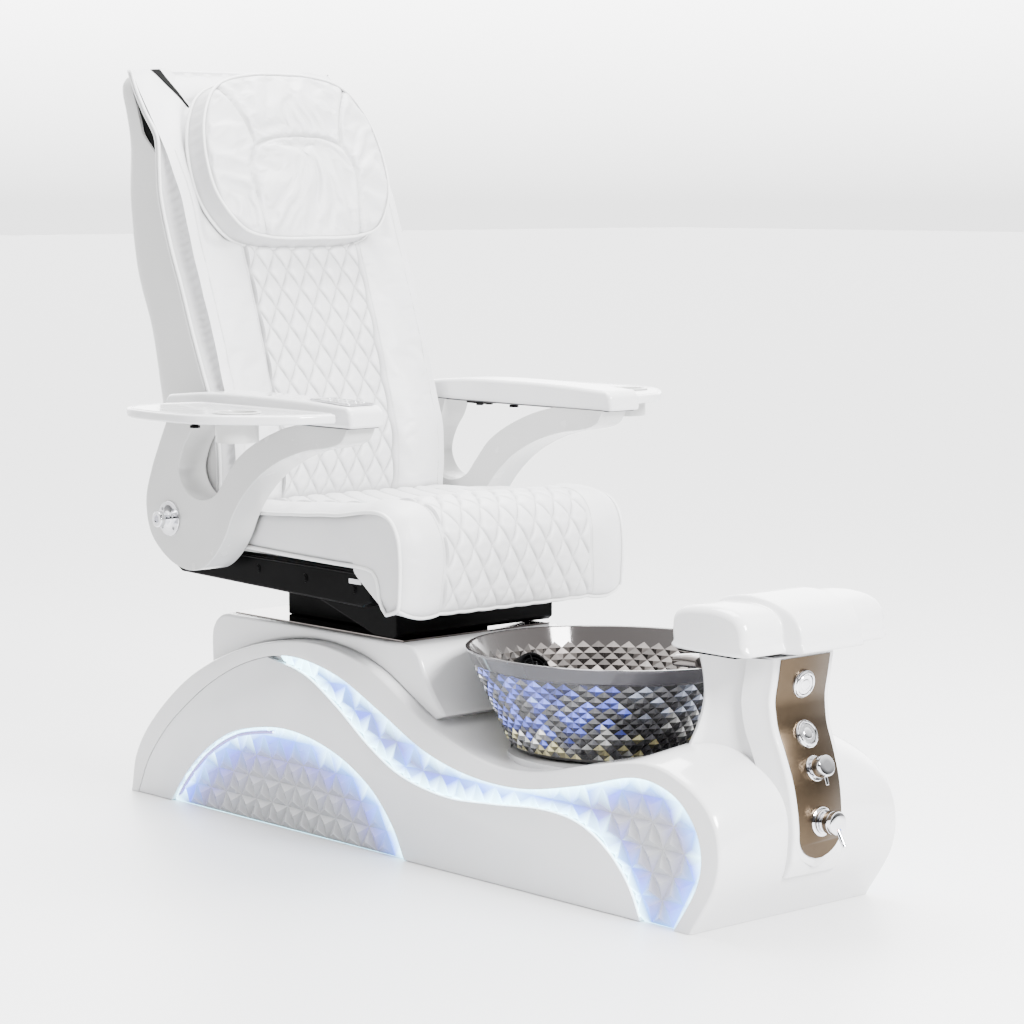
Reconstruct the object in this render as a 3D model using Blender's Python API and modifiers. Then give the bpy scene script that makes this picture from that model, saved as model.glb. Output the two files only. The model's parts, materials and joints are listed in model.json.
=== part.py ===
"""Pedicure spa chair: base, foot bowl, control tower, sliding seat, reclining back, lift-up arms.

Metres, +Z up. The sitter faces -Y, so the sitter's right is -X. Every outline below is drawn with
Y = 0 at the foot of the nose and Z = 0 on the floor; the root empty then moves the whole chair
so that its origin is the bottom centre of its bounding box.
"""
import math

import bmesh
import bpy
from mathutils import Matrix, Vector

# ---------------------------------------------------------------- driving dimensions
FRONT_Y = -0.1450            # tip of the mixer lever
REAR_Y = 1.5560              # rear foot of the base
BASE_HALF = 0.212            # half width of the base
POCKET_DEPTH = 0.014         # depth of the lit recess in each side of the base
GAP = 0.0004                 # running gap between neighbours
PLINTH_HALF = 0.188
PLINTH_TOP = 0.382
PLATE_THICK = 0.003
COLUMN_HALF = 0.120
CUSHION_HALF = 0.265         # half width of the seat and the back
FRAME_HALF = 0.250
SKIRT_HALF = 0.188
ARM_OUT = 0.333              # outer face of the arms
ARM_IN = 0.270               # inner face of the arms
PAD_OUT = 0.345
PAD_IN = 0.2685
PAD_LOW = 0.775
PAD_TOP = 0.816
PIVOT = (1.240, 0.576)       # (Y, Z) of the axis that carries the arms and the back
SHAFT_R = 0.012
TRAY_PIN = (0.385, 1.085)    # (X, Y) of the tray's swivel pin
TRAY_TOP = 0.800
TRAY_THICK = 0.016
CUP_AT = (0.465, 0.850)
CUP_R = 0.0375
BOWL_LOW = (0.150, 0.165, 0.420)     # half width, half length and centre Y at the bottom
BOWL_RIM = (0.246, 0.272, 0.392)     # the same at the rim
BOWL_BOTTOM = 0.2163
BOWL_TOP = 0.398
BOWL_WALL = 0.005
DECK_TOP = 0.216
TOWER_TOP = 0.437
PLATE_FACE = 0.0020          # the control plate's outer face, along its normal
TRIM_GAP = 0.0023            # flat trim rings stand this far off the curved control plate
FOOTREST_HALF = 0.170
NOSE_CROWN = 0.036           # rise of the nose at its centre over its edges
BACK_LEAN = math.radians(16.5)
PILLOW_LEAN = math.radians(20.0)
PILLOW_FOOT = (1.2520, 1.100)       # (Y, Z) of the middle of the pillow's thickness, near its foot
PILLOW_HALF = 0.0305                # half the pillow's thickness

# ---------------------------------------------------------------- outlines (Y, Z)
BASE_EDGE = [(1.556, 0.0), (1.535, 0.082), (1.470, 0.163), (1.352, 0.254), (1.206, 0.320),
             (1.060, 0.355), (0.930, 0.360), (0.800, 0.332), (0.651, 0.257), (0.504, 0.211),
             (0.377, 0.209), (0.229, 0.242), (0.100, 0.264), (0.010, 0.242), (-0.045, 0.203),
             (-0.067, 0.149), (-0.058, 0.085), (-0.004, 0.0)]
PANEL_EDGE = [(1.532, -0.002), (1.490, 0.078), (1.410, 0.162), (1.280, 0.252), (1.150, 0.308),
              (1.030, 0.328), (0.900, 0.309), (0.781, 0.261), (0.660, 0.207), (0.536, 0.179),
              (0.400, 0.176), (0.259, 0.202), (0.130, 0.235), (0.050, 0.226), (0.000, 0.192),
              (-0.026, 0.140), (-0.018, 0.080), (0.034, -0.002)]
LIGHT_EDGE = [(1.082, 0.318), (0.990, 0.297), (0.900, 0.250), (0.810, 0.192), (0.720, 0.151),
              (0.600, 0.132), (0.479, 0.138), (0.350, 0.149), (0.260, 0.140), (0.190, 0.105),
              (0.140, 0.055), (0.110, -0.002)]
DOME_EDGE = [(1.420, -0.002), (1.372, 0.057), (1.305, 0.115), (1.224, 0.159), (1.140, 0.180),
             (1.053, 0.188), (0.963, 0.178), (0.876, 0.152), (0.800, 0.110), (0.745, 0.055),
             (0.712, -0.002)]
SEAT_EDGE = [(1.150, 0.600), (1.060, 0.606), (0.934, 0.614), (0.820, 0.622), (0.735, 0.634),
             (0.678, 0.624), (0.650, 0.590), (0.642, 0.545), (0.643, 0.490), (0.648, 0.455),
             (0.664, 0.443), (0.694, 0.446), (0.711, 0.466), (0.720, 0.505), (0.745, 0.522),
             (0.850, 0.524), (1.000, 0.527), (1.150, 0.532)]
# (Y, Z, half width) down the back: the front corner of a bolster, then the rear face behind it.
BACK_CORNER = [(1.138, 0.613, 0.250), (1.138, 0.670, 0.252), (1.144, 0.730, 0.253),
               (1.162, 0.790, 0.253), (1.184, 0.857, 0.254), (1.204, 0.920, 0.255),
               (1.236, 1.005, 0.256), (1.257, 1.060, 0.257), (1.271, 1.100, 0.257), (1.294, 1.165, 0.256),
               (1.328, 1.225, 0.255), (1.366, 1.280, 0.252), (1.410, 1.330, 0.248),
               (1.452, 1.378, 0.243), (1.482, 1.414, 0.237)]
BACK_REAR = [(1.262, 0.613), (1.254, 0.660), (1.258, 0.725), (1.278, 0.790), (1.295, 0.850),
             (1.315, 0.915), (1.344, 1.000), (1.364, 1.055), (1.377, 1.092), (1.396, 1.155), (1.406, 1.215),
             (1.418, 1.270), (1.443, 1.318), (1.471, 1.366), (1.497, 1.402)]
SHELL_SIDE = [(1.264, 0.600, 0.265), (1.280, 0.690, 0.265), (1.306, 0.790, 0.265), (1.336, 0.918, 0.265),
              (1.381, 1.030, 0.265), (1.408, 1.163, 0.262), (1.426, 1.266, 0.252), (1.456, 1.330, 0.242),
              (1.482, 1.372, 0.236)]
SHELL_DEPTH = [0.103, 0.103, 0.103, 0.103, 0.103, 0.100, 0.090, 0.080, 0.068]
ARM_EDGE = [(1.238, 0.7745), (1.269, 0.720), (1.299, 0.662), (1.317, 0.604), (1.303, 0.545),
            (1.257, 0.505), (1.203, 0.486), (1.150, 0.488), (1.108, 0.511), (1.072, 0.550),
            (1.045, 0.596), (1.010, 0.637), (0.960, 0.676), (0.900, 0.706), (0.830, 0.727),
            (0.765, 0.737), (0.728, 0.750), (0.710, 0.7745)]
ARM_NOTCH = [(0.846, 0.7745), (0.905, 0.760), (0.975, 0.733), (1.030, 0.701), (1.068, 0.662),
             (1.100, 0.629), (1.146, 0.617), (1.190, 0.632), (1.210, 0.668), (1.197, 0.708),
             (1.172, 0.742), (1.158, 0.7745)]
PLATE_LINE = [(-0.052, 0.4340), (-0.047, 0.403), (-0.041, 0.369), (-0.042, 0.346), (-0.047, 0.318),
              (-0.060, 0.286), (-0.074, 0.247), (-0.082, 0.215), (-0.087, 0.178), (-0.088, 0.147),
              (-0.084, 0.108)]
TRAY_EDGE = [(0.352, 0.730), (0.356, 0.716), (0.370, 0.711), (0.440, 0.733), (0.505, 0.795),
             (0.545, 0.860), (0.556, 0.935), (0.553, 1.007), (0.537, 1.075), (0.505, 1.115),
             (0.454, 1.132), (0.400, 1.122), (0.370, 1.115), (0.355, 1.102), (0.351, 1.085)]

SIDES = {"right": -1, "left": 1}
BUTTONS = {"upper": 0.389, "lower": 0.305}
DIVERTER_Z = 0.252
MIXER_Z = 0.168

WHITE = dict(color=(0.86, 0.86, 0.87), rough=0.22)
LEATHER = dict(color=(0.87, 0.87, 0.87), rough=0.42)
BLACK = dict(color=(0.012, 0.012, 0.013), rough=0.40)
CHROME = dict(color=(0.80, 0.80, 0.82), rough=0.10, metal=1.0)
STEEL = dict(color=(0.45, 0.46, 0.48), rough=0.35, metal=1.0)
BRONZE = dict(color=(0.36, 0.30, 0.25), rough=0.38, metal=1.0)
GLASS = dict(color=(0.05, 0.055, 0.08), rough=0.08, alpha=0.6)
MIRROR = dict(color=(0.20, 0.18, 0.17), rough=0.08, metal=1.0)
GLOW = dict(color=(0.70, 0.80, 0.98), rough=0.25)
BOARD = dict(color=(0.80, 0.86, 0.95), rough=0.5)
RUBBER = dict(color=(0.03, 0.03, 0.03), rough=0.7)


# ---------------------------------------------------------------- scene and bodies
for old in list(bpy.data.objects):
    bpy.data.objects.remove(old, do_unlink=True)

CHAIR = bpy.data.collections.new("pedicure_spa_chair")
CUTTERS = bpy.data.collections.new("cutters")
bpy.context.scene.collection.children.link(CHAIR)
bpy.context.scene.collection.children.link(CUTTERS)

ROOT = bpy.data.objects.new("chair_root", None)
CHAIR.objects.link(ROOT)
ROOT.location = (0, -(FRONT_Y + REAR_Y) / 2, 0)
AXES = {}


def axis_empty(body, at, parent=None):
    """The empty on a moving body's joint axis; the body's pieces are its children."""
    empty = bpy.data.objects.new(body + "_axis", None)
    CHAIR.objects.link(empty)
    holder = AXES.get(parent)
    empty.parent = holder or ROOT
    empty.location = Vector(at) - (Vector(holder["at"]) if holder else Vector())
    empty["at"] = at
    AXES[body] = empty


def attach(obj, body):
    """Parent a piece, modelled in chair coordinates, to its body."""
    if body == "base":
        obj.parent = ROOT
        return
    empty = AXES[body]
    obj.parent = empty
    obj.matrix_parent_inverse = Matrix.Translation(-Vector(empty["at"]))


def material(name, look):
    mat = bpy.data.materials.new(name)
    mat.use_nodes = True
    shader = mat.node_tree.nodes["Principled BSDF"]
    shader.inputs["Base Color"].default_value = (*look["color"], 1.0)
    shader.inputs["Roughness"].default_value = look["rough"]
    shader.inputs["Metallic"].default_value = look.get("metal", 0.0)
    shader.inputs["Alpha"].default_value = look.get("alpha", 1.0)
    return mat


# ---------------------------------------------------------------- outline helpers
def smooth(points, steps=3):
    """An open Catmull-Rom curve through the points."""
    pts = [Vector(p) for p in points]
    ends = [2 * pts[0] - pts[1]] + pts + [2 * pts[-1] - pts[-2]]
    out = []
    for i in range(1, len(ends) - 2):
        a, b, c, d = ends[i - 1:i + 3]
        for k in range(steps):
            t = k / steps
            out.append(0.5 * (2 * b + (c - a) * t + (2 * a - 5 * b + 4 * c - d) * t ** 2
                              + (3 * b - a - 3 * c + d) * t ** 3))
    return out + [pts[-1]]


def shifted(points, distance):
    """An open line moved sideways, to the left of its own direction for a positive distance."""
    out = []
    for i, p in enumerate(points):
        along = (points[min(i + 1, len(points) - 1)] - points[max(i - 1, 0)]).normalized()
        out.append(p + Vector((-along.y, along.x)) * distance)
    return out


def trimmed(points, low):
    """The part of an open line that lies above a height, with its ends cut exactly there."""
    out = []
    for a, b in zip(points, points[1:]):
        if a.y >= low:
            out.append(a)
        if (a.y - low) * (b.y - low) < 0:
            out.append(a.lerp(b, (low - a.y) / (b.y - a.y)))
    return out + ([points[-1]] if points[-1].y >= low else [])


def height_at(line, y):
    """Z of a smooth line at a given Y, where the line runs on from Y to Y without turning back."""
    for a, b in zip(line, line[1:]):
        low, high = sorted((a.x, b.x))
        if low <= y <= high and high > low:
            return a.y + (b.y - a.y) * (y - a.x) / (b.x - a.x)
    return line[-1].y


def along_y(line, z):
    """Y of a smooth line at a given Z."""
    for a, b in zip(line, line[1:]):
        low, high = sorted((a.y, b.y))
        if low <= z <= high and high > low:
            return a.x + (b.x - a.x) * (z - a.y) / (b.y - a.y)
    return (line[0] if abs(line[0].y - z) < abs(line[-1].y - z) else line[-1]).x


def circle(cx, cy, rx, ry=None, count=32, start=0.0):
    ry = rx if ry is None else ry
    angles = [start + 2 * math.pi * i / count for i in range(count)]
    return [Vector((cx + rx * math.cos(a), cy + ry * math.sin(a))) for a in angles]


def box_outline(x0, y0, x1, y1):
    return [Vector((x0, y0)), Vector((x1, y0)), Vector((x1, y1)), Vector((x0, y1))]


# ---------------------------------------------------------------- solid helpers
SIDE_VIEW = Matrix(((0, 0, 1, 0), (1, 0, 0, 0), (0, 1, 0, 0), (0, 0, 0, 1)))


def finish_mesh(name, bm, look=None, body="base", soft_angle=35.0):
    bmesh.ops.recalc_face_normals(bm, faces=bm.faces)
    mesh = bpy.data.meshes.new(name)
    bm.to_mesh(mesh)
    bm.free()
    obj = bpy.data.objects.new(name, mesh)
    if look is None:
        CUTTERS.objects.link(obj)
        obj.hide_render = True
        obj.display_type = "WIRE"
    else:
        CHAIR.objects.link(obj)
        mesh.materials.append(material(name, look))
        mesh.shade_smooth()
        mesh.set_sharp_from_angle(angle=math.radians(soft_angle))
    attach(obj, body)
    return obj


def curve_mesh(curve_object):
    """A curve object as a bmesh in chair coordinates, with its caps welded on."""
    bpy.context.scene.collection.objects.link(curve_object)
    evaluated = curve_object.evaluated_get(bpy.context.evaluated_depsgraph_get())
    mesh = bpy.data.meshes.new_from_object(evaluated)
    mesh.transform(curve_object.matrix_world)
    bm = bmesh.new()
    bm.from_mesh(mesh)
    bmesh.ops.remove_doubles(bm, verts=bm.verts, dist=1e-6)
    bpy.data.meshes.remove(mesh)
    curve = curve_object.data
    bpy.data.objects.remove(curve_object)
    bpy.data.curves.remove(curve)
    return bm


def prism(name, outline, low, high, look=None, body="base", view="side", edge=0.0, rounds=2):
    """A flat outline with a thickness: (Y, Z) spread along X, or (X, Y) spread along Z."""
    curve = bpy.data.curves.new(name, "CURVE")
    curve.dimensions = "2D"
    curve.fill_mode = "BOTH"
    curve.extrude = (high - low) / 2
    spline = curve.splines.new("POLY")
    spline.points.add(len(outline) - 1)
    for point, p in zip(spline.points, outline):
        point.co = (p[0], p[1], 0.0, 1.0)
    spline.use_cyclic_u = True
    flat = bpy.data.objects.new(name + "_outline", curve)
    centre = Matrix.Translation((0, 0, (low + high) / 2))
    flat.matrix_world = (SIDE_VIEW if view == "side" else Matrix.Identity(4)) @ centre
    obj = finish_mesh(name, curve_mesh(flat), look, body)
    if edge:
        rim = obj.modifiers.new("round_edges", "BEVEL")
        rim.width = edge
        rim.segments = rounds
        rim.limit_method = "ANGLE"
        rim.angle_limit = math.radians(50)
    return obj


def loft(name, rings, look=None, body="base"):
    """Rings of equal length joined in order and capped at both ends."""
    bm = bmesh.new()
    loops = [[bm.verts.new(p) for p in ring] for ring in rings]
    count = len(rings[0])
    for a, b in zip(loops, loops[1:]):
        for i in range(count):
            j = (i + 1) % count
            bm.faces.new((a[i], a[j], b[j], b[i]))
    bm.faces.new(list(reversed(loops[0])))
    bm.faces.new(loops[-1])
    return finish_mesh(name, bm, look, body)


def round_bar(name, start, end, radius, look=None, body="base", count=16, tip=None, edge=0.0):
    """A cylinder, or a cone to a second radius, between two points."""
    a, b = Vector(start), Vector(end)
    bm = bmesh.new()
    bmesh.ops.create_cone(bm, cap_ends=True, segments=count, radius1=radius,
                          radius2=radius if tip is None else tip, depth=(b - a).length)
    turn = (b - a).to_track_quat("Z", "Y").to_matrix().to_4x4()
    bmesh.ops.transform(bm, matrix=Matrix.Translation((a + b) / 2) @ turn, verts=bm.verts)
    obj = finish_mesh(name, bm, look, body)
    if edge:
        rim = obj.modifiers.new("round_edges", "BEVEL")
        rim.width = edge
        rim.segments = 2
        rim.limit_method = "ANGLE"
        rim.angle_limit = math.radians(50)
    return obj


def block(name, low, high, look=None, body="base", edge=0.0, turn=None):
    """A box between two corners, turned about its own centre."""
    a, b = Vector(low), Vector(high)
    bm = bmesh.new()
    bmesh.ops.create_cube(bm, size=1.0)
    bmesh.ops.transform(bm, matrix=Matrix.Diagonal((*(b - a), 1.0)), verts=bm.verts)
    place = Matrix.Translation((a + b) / 2) @ (turn or Matrix.Identity(4))
    bmesh.ops.transform(bm, matrix=place, verts=bm.verts)
    obj = finish_mesh(name, bm, look, body)
    if edge:
        rim = obj.modifiers.new("round_edges", "BEVEL")
        rim.width = edge
        rim.segments = 2
        rim.limit_method = "ANGLE"
    return obj


def turned(name, profile, look, body, at, axis, count=20):
    """A profile (radius, height) turned about an axis through a point; height runs along it."""
    turn = Vector(axis).to_track_quat("Z", "Y").to_matrix().to_4x4()
    place = Matrix.Translation(Vector(at)) @ turn
    rings = []
    for radius, height in profile:
        rings.append([place @ Vector((p.x, p.y, height)) for p in circle(0, 0, radius, count=count)])
    return loft(name, rings, look, body)


def boolean(obj, other, operation):
    step = obj.modifiers.new(operation.lower() + "_" + other.name, "BOOLEAN")
    step.operation = operation
    step.object = other
    step.solver = "EXACT"
    return obj


def cut(obj, other):
    return boolean(obj, other, "DIFFERENCE")


def join(obj, other):
    """Weld a helper solid onto a piece; the helper itself is not a part."""
    return boolean(obj, other, "UNION")


def mirror_y(outline, side):
    return [Vector((side * p[0], p[1])) for p in outline]


# ---------------------------------------------------------------- bodies and their axes
def button_frame(z):
    """Centre point and outward normal of the control plate at a height."""
    line = smooth(PLATE_LINE, 4)
    y = along_y(line, z)
    slope = along_y(line, z + 0.004) - along_y(line, z - 0.004)
    normal = Vector((0, -0.008, slope)).normalized()
    return Vector((0, y, z)), normal


def bowl_ring(z, grow=0.0):
    """Half width, half length and centre Y of the bowl's outer face at a height."""
    t = (z - BOWL_BOTTOM) / (BOWL_TOP - BOWL_BOTTOM)
    a, b, y = (low + (top - low) * t for low, top in zip(BOWL_LOW, BOWL_RIM))
    return a + grow, b + grow, y


JET_Z = 0.315
JET_SLOPE = (BOWL_RIM[1] + BOWL_RIM[2] - BOWL_LOW[1] - BOWL_LOW[2]) / (BOWL_TOP - BOWL_BOTTOM)
JET_AXIS = Vector((0, -1, JET_SLOPE)).normalized()
JET_AT = Vector((0, bowl_ring(JET_Z, -BOWL_WALL)[1] + bowl_ring(JET_Z)[2], JET_Z))
BACK_UP = Vector((0, math.sin(BACK_LEAN), math.cos(BACK_LEAN)))
BACK_OUT = Vector((0, math.cos(BACK_LEAN), -math.sin(BACK_LEAN)))
ROLLER_AT = Vector((0, *PIVOT)) + BACK_UP * 0.380 + BACK_OUT * 0.012

axis_empty("footrest", (0, 0.030, 0.445))
for name, z in BUTTONS.items():
    axis_empty(name + "_button", tuple(button_frame(z)[0]))
axis_empty("diverter", tuple(button_frame(DIVERTER_Z)[0]))
axis_empty("mixer", tuple(button_frame(MIXER_Z)[0]))
axis_empty("impeller", tuple(JET_AT))
axis_empty("seat", (0, 1.0, 0.450))
axis_empty("back", (0, *PIVOT), "seat")
axis_empty("massage", tuple(ROLLER_AT), "back")
axis_empty("rollers", tuple(ROLLER_AT), "massage")
for side_name, side in SIDES.items():
    axis_empty("arm_" + side_name, (side * ARM_OUT, *PIVOT), "seat")
    axis_empty("tray_" + side_name, (side * TRAY_PIN[0], TRAY_PIN[1], TRAY_TOP), "arm_" + side_name)


# ---------------------------------------------------------------- base
base_line = smooth(BASE_EDGE, 2)
panel_line = smooth(PANEL_EDGE, 2)
light_line = smooth(LIGHT_EDGE, 2)
dome_line = smooth(DOME_EDGE, 2)


def crowned(x):
    """The base's side outline at a distance from its centre plane; the nose rises towards the middle."""
    edge = max(0.0, abs(x) - (BASE_HALF - 0.006))
    tuck = -0.006 * (edge / 0.006) ** 2
    rise = NOSE_CROWN * (1.0 - min(1.0, abs(x) / (BASE_HALF - 0.006)) ** 4)
    out = []
    for i, p in enumerate(base_line):
        along = (base_line[min(i + 1, len(base_line) - 1)] - base_line[max(i - 1, 0)]).normalized()
        normal = Vector((along.y, -along.x))
        fade = min(1.0, max(0.0, (0.180 - p.x) / 0.125))
        lift = rise * fade * fade * (3 - 2 * fade) * (0.2 + 0.8 * max(0.0, normal.y))
        moved = p + normal * (lift * min(1.0, p.y / 0.080) + tuck)
        out.append(Vector((moved.x, p.y if p.y == 0.0 else moved.y)))
    return out


def make_base_shell():
    stations = [0.0, 0.090, 0.140, 0.172, 0.193, 0.206, BASE_HALF]
    stations = [-x for x in reversed(stations[1:])] + stations
    shell = loft("base_shell", [[Vector((x, p.x, p.y)) for p in crowned(x)] for x in stations], WHITE)
    deck = prism("deck", circle(0, BOWL_LOW[2], 0.178, 0.197, 32), 0.150, DECK_TOP, view="top")
    join(shell, deck)
    over = prism("deck_clear", circle(0, BOWL_LOW[2], 0.172, 0.191, 32), DECK_TOP, 0.300, view="top")
    cut(shell, over)
    wall = 0.012
    spots = [0.030 + i * 0.0735 for i in range(21)]
    ceiling = []
    for y in spots:
        z = height_at(base_line[:-10], y) - wall
        near_bowl = abs(y - BOWL_LOW[2]) < 0.22
        ceiling.append(Vector((y, min(z, 0.188) if near_bowl else z)))
    hollow = [Vector((spots[0], -0.01))] + ceiling + [Vector((spots[-1], -0.01))]
    inside = BASE_HALF - POCKET_DEPTH - 0.010
    cut(shell, prism("base_hollow", hollow, -inside, inside))
    for side_name, side in SIDES.items():
        x0, x1 = sorted((side * (BASE_HALF - POCKET_DEPTH), side * (BASE_HALF + 0.010)))
        pocket = prism("pocket_" + side_name, panel_line, x0, x1)
        cut(shell, pocket)
    centre = (0, BOWL_LOW[2])
    cut(shell, round_bar("drain_bore", (*centre, 0.150), (*centre, 0.230), 0.024))
    cut(shell, block("column_bore", (-0.050, 0.960, 0.200), (0.050, 1.060, 0.400)))
    for name, z, deep in (("mixer", MIXER_Z, 0.140), ("diverter", DIVERTER_Z, 0.040)):
        at, normal = button_frame(z)
        cut(shell, round_bar(name + "_bore", at, at - normal * deep, 0.0165))


def make_side(side_name, side):
    """LED board, faceted light lenses and the smooth centre panel of one side."""
    def slab(name, outline, look, inner, outer, edge=0.0):
        x0, x1 = sorted((side * inner, side * outer))
        return prism(name + "_" + side_name, outline, x0, x1, look, edge=edge)

    back = BASE_HALF - POCKET_DEPTH
    inset = trimmed(shifted(panel_line, 0.0006), 0.002)
    light = trimmed(light_line, 0.002)
    slab("led_panel", inset, BOARD, back + GAP, back + 0.0022)
    lens_in, lens_out = back + 0.0026, BASE_HALF - 0.003
    split = min(range(len(inset)), key=lambda i: (inset[i] - light[0]).length)
    wave = inset[split + 1:] + list(reversed(light[1:]))
    slab("wave_lens", wave, GLOW, lens_in, lens_out)
    slab("dome_lens", trimmed(dome_line, 0.002), GLOW, lens_in, lens_out)
    below = trimmed(shifted(light_line, 0.0008), 0.002)
    rest = inset[:split] + below[2:]
    panel = slab("side_panel", rest, WHITE, lens_in, BASE_HALF - 0.001)
    grown = [Vector((p.x, p.y)) for p in shifted(dome_line, -0.0008)]
    clear = [Vector((grown[0].x, -0.01))] + grown + [Vector((grown[-1].x, -0.01))]
    x0, x1 = sorted((side * (back - 0.01), side * (BASE_HALF + 0.01)))
    cut(panel, prism("dome_clear_" + side_name, clear, x0, x1))


def make_base_pan():
    """Steel floor plate and the parts that stand on it inside the shell."""
    prism("base_pan", box_outline(-0.183, 0.040, 0.183, 1.480), 0.0, 0.004, STEEL, view="top")
    block("power_supply", (-0.085, 1.080, 0.0045), (0.085, 1.300, 0.095), STEEL, edge=0.004)


def make_plinth():
    top = [(1.312, 0.280), (1.313, 0.330), (1.305, 0.358), (1.285, 0.376), (1.262, PLINTH_TOP),
           (0.740, PLINTH_TOP), (0.715, 0.379), (0.697, 0.366), (0.680, 0.335), (0.655, 0.300),
           (0.625, 0.268)]
    under = [p + Vector((0, GAP)) for p in base_line if 0.63 < p.x < 1.305]
    outline = [Vector(p) for p in top] + list(reversed(under))
    plinth = prism("seat_plinth", outline, -PLINTH_HALF, PLINTH_HALF, WHITE, edge=0.006)
    cut(plinth, block("plinth_bore", (-0.050, 0.960, 0.200), (0.050, 1.060, 0.420)))
    z = PLINTH_TOP + GAP
    plate = prism("plinth_plate", box_outline(-0.176, 0.752, 0.176, 1.250), z, z + PLATE_THICK,
                  MIRROR, view="top")
    cut(plate, block("plate_bore", (-0.050, 0.960, 0.300), (0.050, 1.060, 0.420)))


def make_column():
    """The post: a foot on the floor pan, a stem up through the plinth, and the wide black head."""
    low = PLINTH_TOP + GAP + PLATE_THICK + GAP
    head = block("lift_column", (-COLUMN_HALF, 0.860, low), (COLUMN_HALF, 1.160, 0.447), BLACK, edge=0.003)
    join(head, block("column_stem", (-0.048, 0.962, 0.0045), (0.048, 1.058, low + 0.01)))
    rails = block("slide_rails", (-0.110, 0.850, 0.4474), (-0.080, 1.170, 0.4600), STEEL)
    join(rails, block("rail_left", (0.080, 0.850, 0.4474), (0.110, 1.170, 0.4600)))
    join(rails, block("rail_tie", (-0.100, 0.980, 0.4474), (0.100, 1.040, 0.4540)))


def plate_half(z):
    """Half width of the control plate at a height: even above the waist, narrower below."""
    return 0.0580 - 0.0090 * min(1.0, max(0.0, (0.360 - z) / 0.210))


def make_tower():
    """Hollow pedestal with a flat front strip; its foot is cut to the nose of the base."""
    line = smooth(PLATE_LINE, 2)
    line = [Vector((line[0].x - 0.0005, TOWER_TOP))] + line[1:] + [Vector((-0.076, 0.098))]

    def section(front, z):
        t = (TOWER_TOP - z) / TOWER_TOP
        front_half = plate_half(z) + 0.007
        rear_half = 0.118 - 0.012 * math.sin(math.pi * min(1.0, t / 0.36)) + 0.110 * t ** 2
        rear = 0.080 + 0.090 * t ** 2 - 0.006 * math.sin(math.pi * min(1.0, t / 0.36))
        y = front.x + GAP
        wide, deep = rear_half - front_half, rear - y
        half = [(front_half - 0.008, y), (front_half - 0.002, y + 0.003), (front_half, y + 0.010)]
        half += [(front_half + 0.06 * wide, y + 0.30 * deep), (front_half + 0.28 * wide, y + 0.58 * deep),
                 (front_half + 0.62 * wide, y + 0.82 * deep), (rear_half - 0.001, rear - 0.008),
                 (rear_half - 0.006, rear - 0.001), (rear_half - 0.014, rear)]
        ring = [Vector((x, yy, z)) for x, yy in half]
        return ring + [Vector((-p.x, p.y, p.z)) for p in reversed(ring)]

    def shrunk(ring):
        middle = sum(ring, Vector()) / len(ring)
        return [middle + (p - middle) * 0.84 for p in ring]

    rings = [section(p, p.y) for p in line]
    tower = loft("tower_shell", rings, WHITE)
    inner = [shrunk(section(p, p.y)) for p in line[1::3] if 0.250 < p.y < TOWER_TOP - 0.010]
    lowest = [p - Vector((0, 0, 0.090)) for p in inner[-1]]
    cut(tower, loft("tower_hollow", inner + [lowest]))
    nose = []
    for x in (-0.206, -0.193, -0.172, -0.140, -0.090, 0.0, 0.090, 0.140, 0.172, 0.193, 0.206):
        nose.append([Vector((x, p.x, p.y)) for p in shifted(crowned(x), -GAP)])
    cut(tower, loft("nose_clear", nose))
    for name, z in BUTTONS.items():
        at, normal = button_frame(z)
        cut(tower, round_bar(name + "_bore", at + normal * 0.01, at - normal * 0.030, 0.0135))
    for name, z in (("diverter", DIVERTER_Z), ("mixer", MIXER_Z)):
        at, normal = button_frame(z)
        cut(tower, round_bar(name + "_hole", at + normal * 0.01, at - normal * 0.035, 0.0165))
    return tower


def make_control_plate():
    """A thin strip that follows the tower's front, with a round lower end."""
    line = smooth(PLATE_LINE, 2)
    rings = []
    for back, front in zip(line, shifted(line, -PLATE_FACE)):
        half = plate_half(back.y)
        from_end = (back.y - line[-1].y) / 0.040
        if from_end < 1.0:
            half *= math.sqrt(max(0.08, 1.0 - (1.0 - from_end) ** 2))
        rings.append([Vector((-half, back.x, back.y)), Vector((half, back.x, back.y)),
                      Vector((half, front.x, front.y)), Vector((-half, front.x, front.y))])
    plate = loft("control_plate", rings, BRONZE)
    for name, z in BUTTONS.items():
        at, normal = button_frame(z)
        cut(plate, round_bar(name + "_plate_bore", at + normal * 0.01, at - normal * 0.01, 0.0135))
    for name, z in (("diverter", DIVERTER_Z), ("mixer", MIXER_Z)):
        at, normal = button_frame(z)
        cut(plate, round_bar(name + "_plate_hole", at + normal * 0.01, at - normal * 0.01, 0.0165))


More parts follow.
